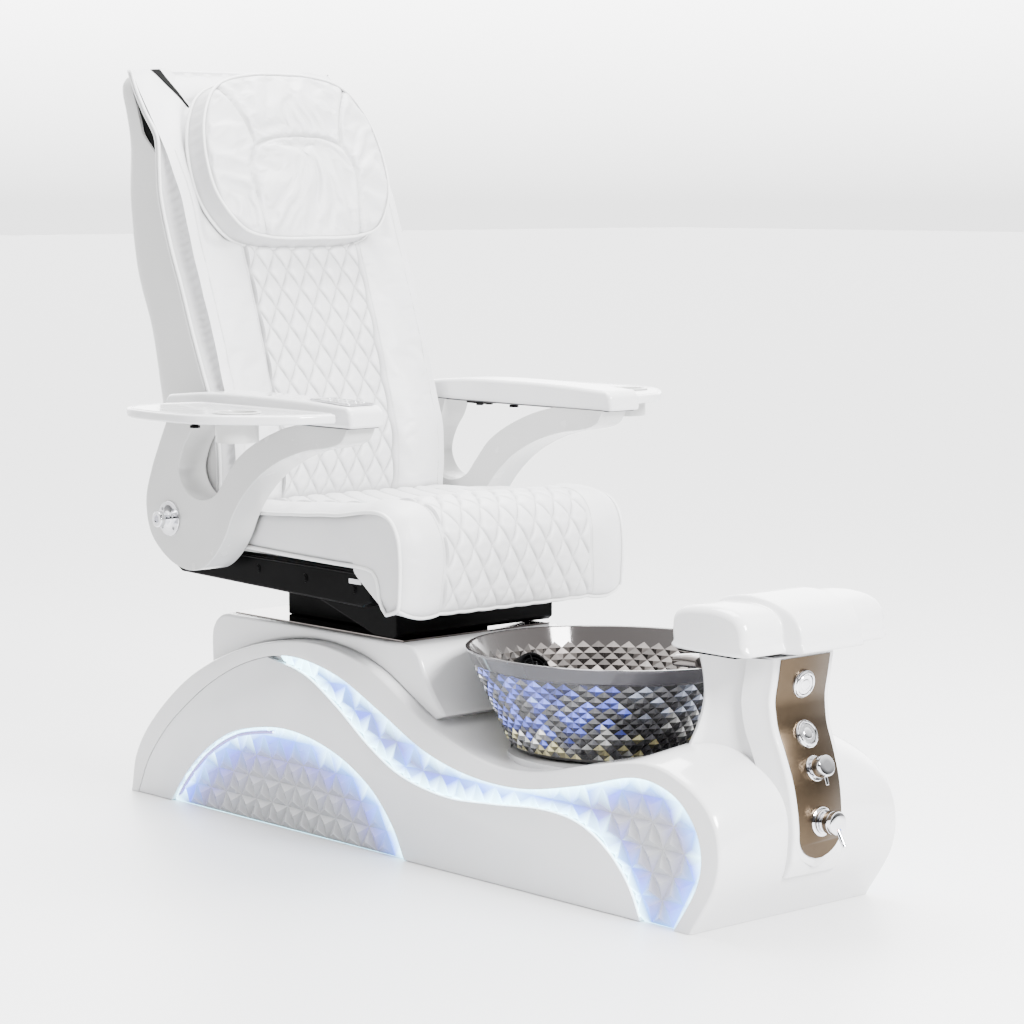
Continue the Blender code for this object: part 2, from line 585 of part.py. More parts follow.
def make_controls():
    for name, z in BUTTONS.items():
        at, normal = button_frame(z)
        low, top = PLATE_FACE + TRIM_GAP, PLATE_FACE + 0.0080
        bezel = turned(name + "_bezel", [(0.0235, low), (0.0235, low + 0.003), (0.0215, top - 0.001), (0.0200, top)],
                       CHROME, "base", at, normal)
        cut(bezel, round_bar(name + "_bezel_bore", at - normal * 0.01, at + normal * 0.02, 0.0170, count=20))
        cap_low = PLATE_FACE + 0.0045
        turned(name + "_button", [(0.0090, -0.020), (0.0090, cap_low - 0.0001), (0.0160, cap_low),
                                  (0.0160, top), (0.0150, top + 0.0012), (0.0080, top + 0.0016)],
               CHROME, name + "_button", at, normal)
    at, normal = button_frame(DIVERTER_Z)
    low = PLATE_FACE + TRIM_GAP
    turned("diverter_valve", [(0.0155, -0.030), (0.0155, low), (0.0210, low + 0.0002), (0.0210, low + 0.003),
                              (0.0120, low + 0.006), (0.0120, 0.0110)], CHROME, "base", at, normal)
    knob = turned("diverter_knob", [(0.0160, 0.0114), (0.0178, 0.0130), (0.0178, 0.0300), (0.0165, 0.0320)],
                  CHROME, "diverter", at, normal)
    right = Vector((1, 0, 0))
    down = normal.cross(right).normalized()
    tip = at + normal * 0.022 + down * (-0.0300 if down.z > 0 else 0.0300)
    join(knob, round_bar("diverter_finger", at + normal * 0.022, tip, 0.0035, count=12))
    at, normal = button_frame(MIXER_Z)
    turned("mixer_valve", [(0.0155, -0.070), (0.0155, low), (0.0240, low + 0.0002), (0.0240, low + 0.003),
                           (0.0200, low + 0.006), (0.0200, 0.0130), (0.0150, 0.0150), (0.0150, 0.0190)],
           CHROME, "base", at, normal)
    handle = turned("mixer_handle", [(0.0175, 0.0194), (0.0190, 0.0210), (0.0190, 0.0390), (0.0175, 0.0410)],
                    CHROME, "mixer", at, normal)
    lever = (Vector((0, 0, -1)) * 0.75 + normal * 0.45).normalized()
    foot = at + normal * 0.032 + lever * 0.012
    join(handle, round_bar("mixer_lever", foot, foot + lever * 0.030, 0.0042, count=12))


def make_bowl():
    count = 32

    def ring(z, grow):
        a, b, y = bowl_ring(z, grow)
        return [Vector((p.x, p.y, z)) for p in circle(0, y, a, b, count)]

    outer = [ring(BOWL_BOTTOM, -0.014), ring(BOWL_BOTTOM + 0.004, -0.004), ring(BOWL_BOTTOM + 0.012, 0.0),
             ring(0.290, 0.001), ring(0.388, 0.001), ring(BOWL_TOP - 0.003, 0.002), ring(BOWL_TOP, 0.0)]
    floor = BOWL_BOTTOM + 0.007
    inner = [ring(BOWL_TOP, -BOWL_WALL), ring(floor + 0.012, -BOWL_WALL),
             ring(floor + 0.003, -0.012), ring(floor, -0.022)]
    bowl = loft("foot_bowl", outer + inner, GLASS)
    y = BOWL_LOW[2]
    cut(bowl, round_bar("bowl_drain", (0, y, 0.200), (0, y, 0.240), 0.0190))
    turned("drain_strainer", [(0.0170, BOWL_BOTTOM + 0.001), (0.0170, floor + GAP - 0.0001),
                              (0.0290, floor + GAP), (0.0280, floor + 0.003), (0.0100, floor + 0.0045)],
           CHROME, "base", (0, y, 0), (0, 0, 1))
    route = [(0, y, 0.2164), (0, y, 0.150), (0, y, 0.090), (0, y + 0.020, 0.052), (0, y + 0.060, 0.040),
             (0, 0.700, 0.036), (0, 0.850, 0.036)]
    tube = bpy.data.curves.new("drain_hose", "CURVE")
    tube.dimensions = "3D"
    tube.bevel_depth = 0.0160
    tube.bevel_resolution = 3
    tube.use_fill_caps = True
    spline = tube.splines.new("POLY")
    spline.points.add(len(route) - 1)
    for point, p in zip(spline.points, route):
        point.co = (*p, 1.0)
    finish_mesh("drain_hose", curve_mesh(bpy.data.objects.new("drain_route", tube)), RUBBER)


def make_jet():
    """Pipeless jet on the bowl's rear wall: an open cup with a free impeller inside."""
    foot, low, top = 0.0020, 0.0090, 0.0290
    turned("jet_housing", [(0.0140, foot), (0.0140, low), (0.0400, low + 0.0001), (0.0400, top),
                           (0.0345, top), (0.0335, low + 0.004), (0.0060, low + 0.0041)][:6] +
           [(0.0040, low + 0.0040)], BLACK, "base", JET_AT, JET_AXIS, 24)
    hub = turned("jet_impeller", [(0.0080, low + 0.0050), (0.0080, 0.0250), (0.0050, 0.0270)],
                 RUBBER, "impeller", JET_AT, JET_AXIS, 16)
    side = Vector((1, 0, 0))
    lift = JET_AXIS.cross(side)
    for k in range(4):
        angle = k * math.pi / 2 + 0.3
        reach = side * math.cos(angle) + lift * math.sin(angle)
        start = JET_AT + JET_AXIS * 0.0190
        blade = round_bar("blade_%d" % k, start, start + reach * 0.0300, 0.0030, count=8)
        join(hub, blade)


def make_spout():
    """Chrome fill spout on the tower's rear, with its mouth over the bowl."""
    x, y, z = -0.094, 0.0835, 0.420
    spout = block("fill_spout", (x - 0.022, y, z - 0.012), (x + 0.022, y + 0.055, z + 0.008), CHROME, edge=0.004)
    cut(spout, block("spout_mouth", (x - 0.017, y + 0.030, z - 0.007), (x + 0.017, y + 0.070, z + 0.003)))


def make_footrest():
    low = TOWER_TOP + GAP
    block("footrest_bracket", (-0.090, -0.030, low), (0.090, 0.070, low + 0.005), BLACK)
    low += 0.005 + GAP
    block("footrest_slide", (-0.150, -0.040, low), (0.150, 0.088, low + 0.004), BLACK)
    attach(bpy.data.objects["footrest_slide"], "footrest")
    low += 0.004 + GAP
    side_edge = [(-0.072, low), (0.084, low), (0.090, 0.470), (0.088, 0.500), (0.076, 0.514), (0.040, 0.524),
                 (-0.010, 0.525), (-0.050, 0.518), (-0.072, 0.504), (-0.078, 0.480)]
    cap = prism("footrest_cap", side_edge, -FOOTREST_HALF, FOOTREST_HALF, WHITE, "footrest", edge=0.016, rounds=3)
    ridge_edge = [(-0.103, 0.456), (-0.060, low + 0.0004), (0.070, low + 0.0004), (0.086, 0.515), (0.060, 0.529),
                  (0.010, 0.5345), (-0.050, 0.529), (-0.090, 0.514), (-0.108, 0.492), (-0.110, 0.470)]
    join(cap, prism("footrest_ridge", ridge_edge, -0.077, 0.077, body="footrest", edge=0.010))


# ---------------------------------------------------------------- seat
def make_seat():
    upper = [(1.350, 0.5185), (1.350, 0.478), (1.320, 0.462), (0.780, 0.449), (0.752, 0.462), (0.748, 0.5185)]
    frame = prism("seat_frame", upper, -FRAME_HALF, FRAME_HALF, BLACK, "seat", edge=0.004)
    lower = [(1.200, 0.470), (1.200, 0.4495), (1.000, 0.445), (0.820, 0.3900), (0.765, 0.3895), (0.757, 0.396),
             (0.757, 0.470)]
    join(frame, prism("seat_skirt", lower, -SKIRT_HALF, SKIRT_HALF, body="seat", edge=0.002))
    tunnel = [(1.370, 0.4607), (1.150, 0.4607), (1.150, 0.5000), (0.780, 0.5000), (0.770, 0.3800), (1.150, 0.3800),
              (1.370, 0.3800)]
    cut(frame, prism("seat_tunnel", tunnel, -SKIRT_HALF + 0.006, SKIRT_HALF - 0.006, body="seat"))
    ear = [p for p in circle(*PIVOT, 0.030, count=16) if p.y > PIVOT[1] - 0.001]
    ear += [Vector((PIVOT[0] - 0.028, 0.505)), Vector((PIVOT[0] + 0.028, 0.505))]
    for side_name, side in SIDES.items():
        x0, x1 = sorted((side * 0.238, side * 0.246))
        join(frame, prism("ear_" + side_name, ear, x0, x1, body="seat"))
    cut(frame, round_bar("shaft_bore", (-0.3, *PIVOT), (0.3, *PIVOT), SHAFT_R + GAP, body="seat"))
    prism("seat_cushion", smooth(SEAT_EDGE, 2), -CUSHION_HALF, CUSHION_HALF, LEATHER, "seat", edge=0.018)
    round_bar("pivot_shaft", (-0.300, *PIVOT), (0.300, *PIVOT), SHAFT_R, STEEL, "seat")
    motor = round_bar("recline_gearmotor", (-0.110, *PIVOT), (0.110, *PIVOT), 0.030, STEEL, "seat", edge=0.004)
    join(motor, block("motor_foot", (-0.045, PIVOT[0] - 0.022, 0.5192), (0.045, PIVOT[0] + 0.022, PIVOT[1]),
                      body="seat"))
    cut(motor, round_bar("motor_bore", (-0.3, *PIVOT), (0.3, *PIVOT), SHAFT_R + GAP, body="seat"))


# ---------------------------------------------------------------- back
def widened(points, steps):
    """Rings' driving points (Y, Z, half width) along a smooth line."""
    return smooth([Vector(p) for p in points], steps)


def make_back():
    pillow_out = Vector((0, math.cos(PILLOW_LEAN), -math.sin(PILLOW_LEAN)))
    behind = Vector((0, *PILLOW_FOOT)) + pillow_out * (PILLOW_HALF + 0.0040)

    def cushion_ring(corner, rear):
        """Across the back: centre panel, valley, bolster, side and rear face, then mirrored."""
        panel = 0.019 - 0.012 * min(1.0, max(0.0, (corner.y - 0.79) / 0.30))
        y, z, half = corner.x, corner.y, corner.z
        deep = Vector((0, rear.x - y, rear.y - z)).normalized()
        side = [(0.130, panel), (0.140, panel + 0.004), (0.160, 0.002), (0.200, -0.004), (half - 0.014, 0.0),
                (half - 0.002, 0.008)]
        points = [Vector((x, y, z)) + deep * d for x, d in side]
        for p in points[:4]:
            clear = (p - behind).dot(pillow_out)
            if p.z > 1.045 and clear < 0:
                p -= deep * (clear / deep.dot(pillow_out))
        wide = min(CUSHION_HALF, half + 0.010)
        points += [Vector((wide, y, z)).lerp(Vector((wide, rear.x, rear.y)), 0.42)]
        points += [Vector((wide - 0.004, rear.x, rear.y)) - deep * 0.010, Vector((wide - 0.016, rear.x, rear.y))]
        return points + [Vector((-p.x, p.y, p.z)) for p in reversed(points)]

    corners = widened(BACK_CORNER, 1)
    rears = [Vector(p) for p in BACK_REAR]
    cushion = loft("back_cushion", [cushion_ring(a, b) for a, b in zip(corners, rears)], LEATHER, "back")
    rim = cushion.modifiers.new("round_edges", "BEVEL")
    rim.width = 0.008
    rim.limit_method = "ANGLE"
    rim.angle_limit = math.radians(60)

    def arc(near, deep, z, half):
        points = []
        for i in range(13):
            angle = math.pi * i / 12
            c, s = math.cos(angle), math.sin(angle)
            points.append(Vector((half * math.copysign(abs(c) ** 0.5, c), near + deep * s ** 0.5, z)))
        return points

    rings = []
    wall = 0.006
    for side, deep in zip(SHELL_SIDE, SHELL_DEPTH):
        outer = arc(side[0], deep, side[1], side[2])
        inner = arc(side[0], deep - wall, side[1], side[2] - wall)
        rings.append(outer + list(reversed(inner)))
    loft("back_shell", rings, WHITE, "back")

    def back_box(name, across, up, out, look=None, edge=0.0):
        """A box in the back's own directions: across X, up along the lean, out to the rear."""
        turn = Matrix(((1, 0, 0, 0), (0, BACK_OUT.y, BACK_UP.y, 0), (0, BACK_OUT.z, BACK_UP.z, 0), (0, 0, 0, 1)))
        size = Vector((across[1] - across[0], out[1] - out[0], up[1] - up[0])) / 2
        middle = Vector((0, *PIVOT)) + Vector((sum(across) / 2, 0, 0))
        middle += BACK_UP * (sum(up) / 2) + BACK_OUT * (sum(out) / 2)
        return block(name, middle - size, middle + size, look, "back", edge, turn)

    frame = back_box("back_frame", (-0.205, -0.180), (-0.008, 0.620), (0.043, 0.058), BLACK)
    join(frame, back_box("frame_left", (0.180, 0.205), (-0.008, 0.620), (0.043, 0.058)))
    for k, height in enumerate((0.022, 0.300, 0.590)):
        join(frame, back_box("frame_bar_%d" % k, (-0.192, 0.192), (height, height + 0.025), (0.046, 0.057)))
    for side_name, side in SIDES.items():
        across = tuple(sorted((side * 0.190, side * 0.199)))
        join(frame, back_box("frame_ear_" + side_name, across, (-0.020, 0.020), (-0.020, 0.026)))
        across = tuple(sorted((side * 0.188, side * 0.201)))
        join(frame, back_box("frame_knee_" + side_name, across, (-0.006, 0.018), (0.020, 0.052)))
    cut(frame, round_bar("frame_bore", (-0.3, *PIVOT), (0.3, *PIVOT), SHAFT_R + GAP, body="back"))

    half = [(0.110, -0.020), (0.157, -0.006), (0.190, 0.036), (0.210, 0.083), (0.2135, 0.145), (0.205, 0.200),
            (0.187, 0.245), (0.160, 0.280), (0.120, 0.301), (0.060, 0.311)]
    outline = [Vector(p) for p in half] + [Vector((-p[0], p[1])) for p in reversed(half)]
    pillow = prism("head_pillow", outline, -PILLOW_HALF, PILLOW_HALF, LEATHER, "back", view="top", edge=0.012)
    lean = Matrix.Rotation(math.pi / 2 - PILLOW_LEAN, 4, "X")
    pillow.data.transform(Matrix.Translation((0, *PILLOW_FOOT)) @ lean)

    flap = [(1.5015, 1.392), (1.5350, 1.386), (1.5480, 1.374), (1.5400, 1.3725), (1.5015, 1.3795)]
    prism("back_top_flap", flap, -0.180, 0.180, LEATHER, "back", edge=0.002)


def make_massage():
    """Carriage that runs up and down between the cushion and the frame, with a roller pair."""
    turn = Matrix(((1, 0, 0, 0), (0, BACK_OUT.y, BACK_UP.y, 0), (0, BACK_OUT.z, BACK_UP.z, 0), (0, 0, 0, 1)))
    at = ROLLER_AT + BACK_OUT * 0.0285
    size = Vector((0.150, 0.0040, 0.050))
    carriage = block("massage_carriage", at - size, at + size, STEEL, "massage", 0.0, turn)
    for side_name, side in SIDES.items():
        middle = ROLLER_AT + Vector((side * 0.110, 0, 0)) + BACK_OUT * 0.0090
        lug = Vector((0.005, 0.0180, 0.014))
        join(carriage, block("lug_" + side_name, middle - lug, middle + lug, None, "massage", 0.0, turn))
    cut(carriage, round_bar("lug_bore", ROLLER_AT - Vector((0.2, 0, 0)), ROLLER_AT + Vector((0.2, 0, 0)), 0.0050,
                            body="massage"))
    wide, thin = 0.0125, 0.0045
    profile = [(thin, -0.118), (thin, -0.085), (wide, -0.080), (wide, -0.050), (thin, -0.045), (thin, 0.045),
               (wide, 0.050), (wide, 0.080), (thin, 0.085), (thin, 0.118)]
    turned("massage_rollers", profile, RUBBER, "rollers", ROLLER_AT, (1, 0, 0), 16)


# ---------------------------------------------------------------- arms and trays
def make_arm(side_name, side):
    body = "arm_" + side_name

    def across(inner, outer):
        return sorted((side * inner, side * outer))

    outline = smooth(ARM_EDGE, 2) + smooth(ARM_NOTCH, 2)
    x0, x1 = across(ARM_IN, ARM_OUT)
    shell = prism("arm_shell_" + side_name, outline, x0, x1, WHITE, body, edge=0.010, rounds=1)
    start, end = Vector((side * 0.260, *PIVOT)), Vector((side * 0.3020, *PIVOT))
    cut(shell, round_bar("arm_bore_" + side_name, start, end, SHAFT_R + GAP, body=body))

    pad_edge = [(1.232, PAD_LOW), (1.236, 0.796), (1.226, 0.808), (1.100, 0.818), (0.950, 0.8195), (0.820, 0.8175),
                (0.702, 0.8120), (0.690, 0.804), (0.686, PAD_LOW)]
    x0, x1 = across(PAD_IN, PAD_OUT)
    pad = prism("arm_pad_" + side_name, pad_edge, x0, x1, WHITE, body, edge=0.006)

    hub = [(0.0325, ARM_OUT + GAP), (0.0325, ARM_OUT + 0.0035), (0.0315, ARM_OUT + 0.0045),
           (0.0130, ARM_OUT + 0.0050), (0.0115, ARM_OUT + 0.0140), (0.0150, ARM_OUT + 0.0200),
           (0.0150, ARM_OUT + 0.0280), (0.0135, ARM_OUT + 0.0300)]
    cap = turned("arm_hub_" + side_name, hub, CHROME, body, (0, *PIVOT), (side, 0, 0))
    tip = ARM_OUT + 0.0310
    socket = round_bar("socket_" + side_name, (side * (tip - 0.010), *PIVOT), (side * tip, *PIVOT), 0.0075, count=6,
                       body=body)
    cut(cap, socket)
    for k in range(4):
        angle = math.pi / 4 + k * math.pi / 2
        y, z = PIVOT[0] + 0.0240 * math.cos(angle), PIVOT[1] + 0.0240 * math.sin(angle)
        hole = round_bar("screw_%s_%d" % (side_name, k), (side * (ARM_OUT + 0.0020), y, z),
                         (side * (ARM_OUT + 0.0100), y, z), 0.0028, count=6, body=body)
        cut(cap, hole)

    x, y = side * TRAY_PIN[0], TRAY_PIN[1]
    z = PAD_LOW - GAP
    x0, x1 = across(0.285, TRAY_PIN[0] + 0.020)
    support = block("tray_support_" + side_name, (x0, y - 0.028, z - 0.006), (x1, y + 0.028, z), BLACK, body)
    cut(support, round_bar("support_bore_" + side_name, (x, y, 0.700), (x, y, 0.800), 0.0064, body=body))
    if side_name == "right":
        pad_top = 0.8185
        deck = prism("control_pad", box_outline(-0.337, 0.703, -0.2765, 0.815), pad_top, pad_top + 0.003, STEEL, body,
                     view="top")
        tilt = Matrix.Translation((0, 0.815, pad_top)) @ Matrix.Rotation(math.radians(2.7), 4, "X")
        deck.data.transform(tilt @ Matrix.Translation((0, -0.815, -pad_top)))
    return shell, pad


def make_tray(side_name, side):
    body = "tray_" + side_name
    outline = mirror_y(smooth([p for p in TRAY_EDGE], 2), side)
    low = TRAY_TOP - TRAY_THICK
    tray = prism("tray_" + side_name, outline, low, TRAY_TOP, WHITE, body, view="top", edge=0.003, rounds=1)
    x, y = side * CUP_AT[0], CUP_AT[1]
    cut(tray, round_bar("cup_bore_" + side_name, (x, y, low - 0.01), (x, y, TRAY_TOP + 0.01), CUP_R + 0.0010,
                        count=24, body=body))
    well = [(CUP_R, 0.7500), (CUP_R, TRAY_TOP + 0.0004), (CUP_R + 0.0045, TRAY_TOP + 0.0005),
            (CUP_R + 0.0035, TRAY_TOP + 0.0028), (CUP_R - 0.0030, TRAY_TOP + 0.0028), (CUP_R - 0.0030, 0.7530)]
    turned("cup_holder_" + side_name, well, WHITE, body, (x, y, 0), (0, 0, 1), 20)

    px, py = side * TRAY_PIN[0], TRAY_PIN[1]
    top = low - GAP
    x0, x1 = sorted((px + side * 0.018, px - side * 0.014))
    plate = block("tray_plate_" + side_name, (x0, 0.830, top - 0.0050), (x1, py + 0.018, top), BLACK, body)
    x0, x1 = sorted((side * 0.380, side * 0.4245))
    join(plate, block("plate_wing_" + side_name, (x0, 0.835, top - 0.0045), (x1, 0.870, top - 0.0004), body=body))
    join(plate, round_bar("tray_pin_" + side_name, (px, py, 0.7600), (px, py, top - 0.001), 0.0060, body=body,
                          count=20))
    return tray


make_base_shell()
for side_name, side in SIDES.items():
    make_side(side_name, side)
make_base_pan()
make_plinth()
make_column()
make_tower()
make_control_plate()
make_controls()
make_bowl()
make_jet()
make_spout()
make_footrest()
make_seat()
make_back()
make_massage()
for side_name, side in SIDES.items():
    make_arm(side_name, side)
    make_tray(side_name, side)
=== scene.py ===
"""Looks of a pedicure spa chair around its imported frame: leather, gloss plastic, lights, bowl and chrome."""
import json
import math

import bmesh
import bpy
import numpy as np
from mathutils import Matrix, Vector

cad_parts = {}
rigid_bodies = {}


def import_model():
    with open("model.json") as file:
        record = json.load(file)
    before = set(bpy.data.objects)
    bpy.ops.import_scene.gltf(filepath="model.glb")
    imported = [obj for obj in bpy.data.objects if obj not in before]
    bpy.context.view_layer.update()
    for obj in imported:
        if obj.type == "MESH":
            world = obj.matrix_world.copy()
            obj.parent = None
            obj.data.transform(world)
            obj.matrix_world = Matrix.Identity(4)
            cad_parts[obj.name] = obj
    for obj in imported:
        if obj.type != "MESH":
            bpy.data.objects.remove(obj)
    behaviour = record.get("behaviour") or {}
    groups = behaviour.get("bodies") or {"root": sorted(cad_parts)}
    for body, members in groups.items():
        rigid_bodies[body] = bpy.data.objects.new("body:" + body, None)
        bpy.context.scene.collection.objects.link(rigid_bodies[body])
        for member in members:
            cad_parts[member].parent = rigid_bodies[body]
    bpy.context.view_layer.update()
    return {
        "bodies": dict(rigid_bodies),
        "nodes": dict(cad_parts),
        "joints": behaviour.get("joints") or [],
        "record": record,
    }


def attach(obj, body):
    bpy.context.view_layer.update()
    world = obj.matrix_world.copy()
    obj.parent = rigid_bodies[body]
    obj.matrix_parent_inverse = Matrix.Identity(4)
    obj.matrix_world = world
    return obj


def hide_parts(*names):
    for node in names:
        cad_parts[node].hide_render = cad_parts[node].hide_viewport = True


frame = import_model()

JOINTS = {j["name"]: j for j in frame["joints"]}
PIVOT = (1.240, 0.576)
SHIFT = JOINTS["back_recline"]["pos_m"][1] - PIVOT[0]     # outlines below have Y = 0 at the nose's foot
SIDES = {"right": -1, "left": 1}


# ---------------------------------------------------------------- materials
CREASE_SHADE_REACH, CREASE_SHADE_DEPTH = 0.012, 0.35       # painted shade: seams and folds darken within this reach, to this share
CREASE_SHADE_SAMPLES = 6


def new_material(name):
    mat = bpy.data.materials.new("look_" + name)
    mat.use_nodes = True
    return mat, mat.node_tree, mat.node_tree.nodes["Principled BSDF"]


def feed(node, **values):
    """Fill a node's inputs, named with _ for a space: an output is linked and a plain value is set."""
    for key, value in values.items():
        socket = node.inputs[key.replace("_", " ")]
        if isinstance(value, bpy.types.NodeSocket):
            node.id_data.links.new(value, socket)
        else:
            socket.default_value = value
    return node


def add(tree, kind, **values):
    return feed(tree.nodes.new(kind), **values)


def mapped(tree, scale=(1, 1, 1)):
    coords = add(tree, "ShaderNodeTexCoord")
    return add(tree, "ShaderNodeMapping", Scale=scale, Vector=coords.outputs["Object"]).outputs["Vector"]


def ranged(tree, value, low, high, start=0.3, end=0.7):
    node = add(tree, "ShaderNodeMapRange", From_Min=start, From_Max=end, To_Min=low, To_Max=high, Value=value)
    return node.outputs["Result"]


def noise(tree, vector, scale, detail=3.0):
    return add(tree, "ShaderNodeTexNoise", Scale=scale, Detail=detail, Vector=vector).outputs["Fac"]


def clouded(tree, light, dark, pattern, spread=(0.3, 0.7)):
    """Two colours blended by a pattern."""
    node = tree.nodes.new("ShaderNodeMix")
    node.data_type = "RGBA"
    node.inputs[6].default_value = (*light, 1)
    node.inputs[7].default_value = (*dark, 1)
    tree.links.new(ranged(tree, pattern, 0, 1, *spread), node.inputs[0])
    return node.outputs[2]


def bump(tree, shader, height, strength, distance, **before):
    node = add(tree, "ShaderNodeBump", Strength=strength, Distance=distance, Height=height, **before)
    feed(shader, Normal=node.outputs["Normal"])
    return node.outputs["Normal"]


def plastic(name, light, dark, rough=(0.14, 0.22), coat=0.5, grain=0.02, gloss=0.5):
    """Moulded plastic: faint cloudiness, uneven gloss and a very fine moulded surface."""
    mat, tree, shader = new_material(name)
    at = mapped(tree)
    feed(shader, Base_Color=clouded(tree, light, dark, noise(tree, at, 5.0)),
         Roughness=ranged(tree, noise(tree, at, 18.0), *rough), Coat_Weight=coat, Coat_Roughness=0.06,
         Specular_IOR_Level=gloss)
    bump(tree, shader, noise(tree, at, 320.0, 2.0), grain, 0.0006)
    return mat


def painted_crease_shade(tree, colour):
    """A colour that darkens in seams and folds: painted shade on pale upholstery, from an ambient occlusion node."""
    shade = add(tree, "ShaderNodeAmbientOcclusion", Distance=CREASE_SHADE_REACH)
    shade.samples = CREASE_SHADE_SAMPLES
    darker = tree.nodes.new("ShaderNodeVectorMath")
    darker.operation = "SCALE"
    tree.links.new(colour, darker.inputs[0])
    feed(darker, Scale=ranged(tree, shade.outputs["AO"], CREASE_SHADE_DEPTH, 1.0, 0.0, 1.0))
    return darker.outputs["Vector"]


def leather(name, light, dark, grain=0.22):
    """Polyurethane leather: pebble grain, fine creases, soft changes of gloss."""
    mat, tree, shader = new_material(name)
    at = mapped(tree)
    hide = clouded(tree, light, dark, noise(tree, at, 9.0, 5.0), (0.25, 0.75))
    # the hide's colour carries painted shade in its seams and folds
    feed(shader, Base_Color=painted_crease_shade(tree, hide), Roughness=ranged(tree, noise(tree, at, 60.0), 0.32, 0.44),
         Sheen_Weight=0.06, Sheen_Roughness=0.5, Specular_IOR_Level=0.45)
    cells = add(tree, "ShaderNodeTexVoronoi", Scale=620.0, Vector=at)
    cells.feature = "DISTANCE_TO_EDGE"
    pebble = ranged(tree, cells.outputs["Distance"], 0, 1, 0.0, 0.35)
    first = bump(tree, shader, noise(tree, mapped(tree, (1, 1, 0.45)), 70.0, 5.0), 0.12, 0.0020)
    bump(tree, shader, pebble, grain, 0.0004, Normal=first)
    return mat


def metal(name, light, dark, rough, brushed=(1, 1, 1), grain=0.03):
    """Metal with uneven gloss; brushed is the stretch of its grain along X, Y and Z."""
    mat, tree, shader = new_material(name)
    lines = noise(tree, mapped(tree, brushed), 160.0, 4.0)
    feed(shader, Base_Color=clouded(tree, light, dark, noise(tree, mapped(tree), 14.0)), Metallic=1.0,
         Roughness=ranged(tree, lines, *rough))
    bump(tree, shader, lines, grain, 0.0003)
    return mat


def toned(name, rough, coat, glowing=False, metallic=0.0):
    """A material whose colour, and glow, are painted facet by facet in colour attributes of the mesh; on the bowl and
    the lens these colours hold painted light and shade.
    """
    mat, tree, shader = new_material(name)
    for layer, wanted, into in (("tone", True, "Base_Color"), ("tone_glow", glowing, "Emission_Color")):
        if wanted:
            painted = tree.nodes.new("ShaderNodeVertexColor")
            painted.layer_name = layer
            feed(shader, **{into: painted.outputs["Color"]})
    feed(shader, Roughness=ranged(tree, noise(tree, mapped(tree), 40.0), *rough), Coat_Weight=coat, IOR=1.5,
         Emission_Strength=1.0 if glowing else 0.0, Metallic=metallic)
    return mat


def glow_material(name, strength):
    """Icy light line or dot."""
    mat, tree, shader = new_material(name)
    at = mapped(tree)
    feed(shader, Base_Color=(0.80, 0.95, 1.0, 1), Emission_Strength=strength,
         Emission_Color=clouded(tree, (0.62, 0.92, 1.0), (0.80, 0.96, 1.0), noise(tree, at, 30.0)),
         Roughness=ranged(tree, noise(tree, at, 60.0), 0.25, 0.4))
    return mat


WHITE = plastic("white_gloss", (0.70, 0.70, 0.705), (0.67, 0.67, 0.68))
PANEL = plastic("side_panel_white", (0.72, 0.725, 0.74), (0.68, 0.69, 0.705), (0.16, 0.25))
# The arms' white plastic, darker than WHITE: partly the arms' own greyer plastic, partly painted shade.
ARM_WHITE_SHADED = plastic("arm_white", (0.53, 0.53, 0.525), (0.49, 0.49, 0.485), (0.18, 0.28), 0.4)
SHELL_WHITE = plastic("shell_white", (0.60, 0.60, 0.595), (0.56, 0.56, 0.555), (0.30, 0.42), 0.15, 0.05)
CUP = plastic("cup_white", (0.52, 0.52, 0.51), (0.48, 0.48, 0.47), (0.28, 0.38), 0.2)
LEATHER = leather("white_leather", (0.67, 0.67, 0.675), (0.61, 0.61, 0.62))
PIPING = leather("white_piping", (0.78, 0.78, 0.78), (0.72, 0.72, 0.72), 0.12)
THREAD = leather("white_thread", (0.84, 0.84, 0.84), (0.72, 0.72, 0.72), 0.5)
BLACK = plastic("black_satin", (0.0010, 0.0010, 0.0011), (0.0022, 0.0022, 0.0024), (0.30, 0.42), 0.0, 0.10, 0.03)
MESH = plastic("black_mesh", (0.002, 0.002, 0.002), (0.005, 0.005, 0.005), (0.6, 0.8), 0.0, 0.6, 0.05)
CHROME = metal("chrome", (0.86, 0.86, 0.88), (0.76, 0.76, 0.79), (0.04, 0.10), grain=0.004)
STEEL = metal("plain_steel", (0.48, 0.49, 0.51), (0.40, 0.41, 0.43), (0.26, 0.42), (1, 14, 14))
BRONZE = metal("bronze_plate", (0.078, 0.056, 0.036), (0.064, 0.046, 0.030), (0.28, 0.40), (0.6, 0.6, 12.0), 0.05)
MIRROR = metal("dark_mirror", (0.20, 0.18, 0.17), (0.14, 0.125, 0.12), (0.04, 0.10), grain=0.003)
RUBBER = plastic("dark_rubber", (0.022, 0.022, 0.022), (0.035, 0.035, 0.035), (0.55, 0.75), 0.0, 0.3)
BOWL = toned("smoked_bowl", (0.04, 0.12), 0.25, metallic=0.35)
LENS = toned("light_lens", (0.18, 0.30), 0.3, True)
GLOW = glow_material("light_glow", 5.0)
VIOLET_STRIP = plastic("violet_strip", (0.44, 0.38, 0.96), (0.50, 0.44, 0.98), (0.3, 0.4), 0.2)
PLATE_TAG = metal("blank_tag", (0.62, 0.62, 0.63), (0.52, 0.52, 0.53), (0.22, 0.32), (1, 12, 12))
SILVER_INK = metal("silver_ink", (0.55, 0.56, 0.58), (0.46, 0.47, 0.49), (0.25, 0.4))
DARK_GLASS = plastic("dark_glass", (0.006, 0.006, 0.008), (0.012, 0.012, 0.016), (0.03, 0.07), 1.0, 0.0)
RED_DOT = plastic("red_dot", (0.55, 0.02, 0.02), (0.45, 0.02, 0.02))
BLUE_DOT = plastic("blue_dot", (0.02, 0.10, 0.50), (0.02, 0.08, 0.42))


